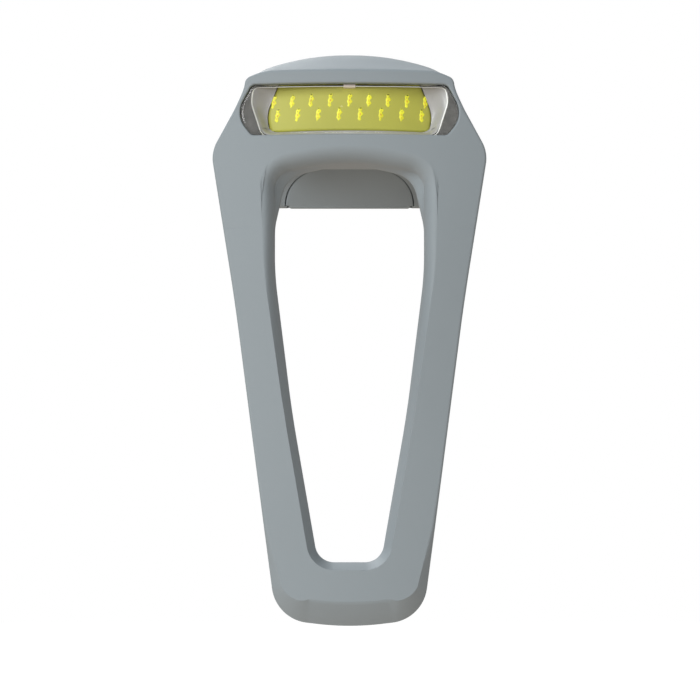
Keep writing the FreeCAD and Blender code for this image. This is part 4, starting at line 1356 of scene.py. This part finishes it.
class PaintInside(bpy.types.Operator):
    """Finishes of the parts inside, which keep their CAD shapes"""

    bl_idname = "light.inside"
    bl_label = "Inner parts"

    def execute(self, context):
        slots = {part["node"]: part["material_slot"] for part in frame["record"]["subparts"]}
        made = {
            slot: surface("inner " + slot, *finish, variation=0.08)
            for slot, finish in INNER_FINISHES.items() if slot in slots.values()
        }
        for name, piece in frame["nodes"].items():
            if slots[name] in made:
                paint(piece, made[slots[name]])
        return {"FINISHED"}


# Stage, in metres and watts

FLOOR_HALF, FLOOR_Z = 4.0, -0.115
WHITE = (1.0, 1.0, 1.0, 1.0)
LAMPS = (
    ("key", (-0.62, -0.70, 0.26), (0.0, -0.01, 0.0), 0.45, 4.9),
    ("fill", (-0.05, -0.95, -0.07), (0.0, -0.01, 0.0), 0.4, 2.5),
    ("top", (-0.05, 0.12, 0.8), (0.0, 0.0, 0.0), 0.5, 1.2),
    ("rim", (-0.30, 0.58, 0.62), (0.0, 0.0, 0.0), 0.5, 4.0),
)
# The photo's size, focal length and shift in its pixels, and Blender's sensor in mm
PICTURE_SIZE = 700.0
FOCAL_LENGTH = 2720.3
PICTURE_SHIFT = (0.5, -8.5)
SENSOR_WIDTH = 36.0
CAMERA_TARGET = Vector((0.0, -0.006, -0.0145))
CAMERA_DISTANCE = 0.35
CAMERA_RISE = math.radians(-5.0)


class BuildStage(bpy.types.Operator):
    """Pale floor, soft studio lamps, white surroundings and the camera"""

    bl_idname = "light.stage"
    bl_label = "Stage"

    def execute(self, context):
        scene = context.scene
        mesh = bpy.data.meshes.new("floor")
        places = box_corners(-FLOOR_HALF, FLOOR_HALF, -FLOOR_HALF, FLOOR_HALF, 0.0)
        corners = [(x, y, FLOOR_Z) for x, y, _ in places]
        mesh.from_pydata(corners, [], [(0, 1, 2, 3)])
        floor = bpy.data.objects.new("floor", mesh)
        scene.collection.objects.link(floor)
        paint(floor, self.floor_material())
        for lamp in LAMPS:
            self.lamp(scene, *lamp)
        self.world(scene)
        self.camera(scene)
        scene.view_settings.view_transform = "Standard"
        return {"FINISHED"}

    def floor_material(self):
        """White and faintly glowing where the camera sees it, warmer in its bounced light."""
        material, tree, shader, output = new_material("pale floor")
        set_inputs(shader, Base_Color=(0.82, 0.82, 0.82, 1.0), Roughness=0.9)
        warm = add_node(tree, "BsdfDiffuse", Color=(0.61, 0.52, 0.44, 1.0))
        glow = add_node(tree, "Emission", Color=WHITE, Strength=0.74)
        path, add, mix = (add_node(tree, kind) for kind in ("LightPath", "AddShader", "MixShader"))
        wire(
            tree, (shader, "BSDF", add, 0), (glow, "Emission", add, 1), (path, "Is Camera Ray", mix, "Fac"),
            (warm, "BSDF", mix, 1), (add, "Shader", mix, 2), (mix, "Shader", output, "Surface"),
        )
        return material

    def lamp(self, scene, name, place, target, size, power):
        """Round soft lamp at a place, turned to a target."""
        light = bpy.data.lights.new(name, "AREA")
        light.shape = "DISK"
        light.size = size
        light.energy = power
        lamp = bpy.data.objects.new(name, light)
        lamp.location = place
        lamp.rotation_euler = (Vector(target) - Vector(place)).to_track_quat("-Z", "Y").to_euler()
        scene.collection.objects.link(lamp)

    def world(self, scene):
        """White where the camera sees it, also through the lens, and a softer light."""
        world = bpy.data.worlds.new("white surroundings")
        world.use_nodes = True
        tree = world.node_tree
        soft, output = tree.nodes["Background"], tree.nodes["World Output"]
        set_inputs(soft, Color=WHITE, Strength=0.36)
        seen = add_node(tree, "Background", Color=WHITE, Strength=1.0)
        path, either, mix = (add_node(tree, kind) for kind in ("LightPath", "Math", "MixShader"))
        either.operation = "MAXIMUM"
        wire(
            tree, (path, "Is Camera Ray", either, 0), (path, "Is Transmission Ray", either, 1),
            (either, "Value", mix, "Fac"), (soft, "Background", mix, 1), (seen, "Background", mix, 2),
            (mix, "Shader", output, "Surface"),
        )
        scene.world = world

    def camera(self, scene):
        """The photo's view, from in front and a little below."""
        view = bpy.data.cameras.new("camera")
        view.sensor_width = SENSOR_WIDTH
        view.lens = FOCAL_LENGTH / PICTURE_SIZE * SENSOR_WIDTH
        view.shift_x, view.shift_y = (shift / PICTURE_SIZE for shift in PICTURE_SHIFT)
        view.clip_start = 0.01
        view.clip_end = 20.0
        camera = bpy.data.objects.new("camera", view)
        way = Vector((0.0, -math.cos(CAMERA_RISE), math.sin(CAMERA_RISE)))
        camera.location = CAMERA_TARGET + CAMERA_DISTANCE * way
        camera.rotation_euler = (CAMERA_TARGET - camera.location).to_track_quat("-Z", "Y").to_euler()
        scene.collection.objects.link(camera)
        scene.camera = camera


STEPS = (BuildHead, BuildStrap, BuildButton, BuildFlap, BuildLens, BuildStrip, PaintInside, BuildStage)
GROUPS = {
    "light_head": HeadShape, "light_strap": StrapShape, "light_window": WindowShape, "light_looks": Looks,
}


class LightPanel(bpy.types.Panel):
    """Lists the steps that build the light"""

    bl_idname = "VIEW3D_PT_bicycle_light"
    bl_label = "Bicycle light"
    bl_space_type = "VIEW_3D"
    bl_region_type = "UI"
    bl_category = "Bicycle light"

    def draw(self, context):
        for step in STEPS:
            self.layout.operator(step.bl_idname)


def register():
    for group in GROUPS.values():
        bpy.utils.register_class(group)
    for name, group in GROUPS.items():
        setattr(bpy.types.Scene, name, bpy.props.PointerProperty(type=group))
    for step in STEPS:
        bpy.utils.register_class(step)
    bpy.utils.register_class(LightPanel)


def unregister():
    bpy.utils.unregister_class(LightPanel)
    for step in reversed(STEPS):
        bpy.utils.unregister_class(step)
    for name in GROUPS:
        delattr(bpy.types.Scene, name)
    for group in GROUPS.values():
        bpy.utils.unregister_class(group)


def main():
    register()
    bpy.ops.light.head()
    bpy.ops.light.strap()
    bpy.ops.light.button()
    bpy.ops.light.flap()
    bpy.ops.light.lens()
    bpy.ops.light.strip()
    bpy.ops.light.inside()
    bpy.ops.light.stage()


if __name__ == "__main__":
    main()
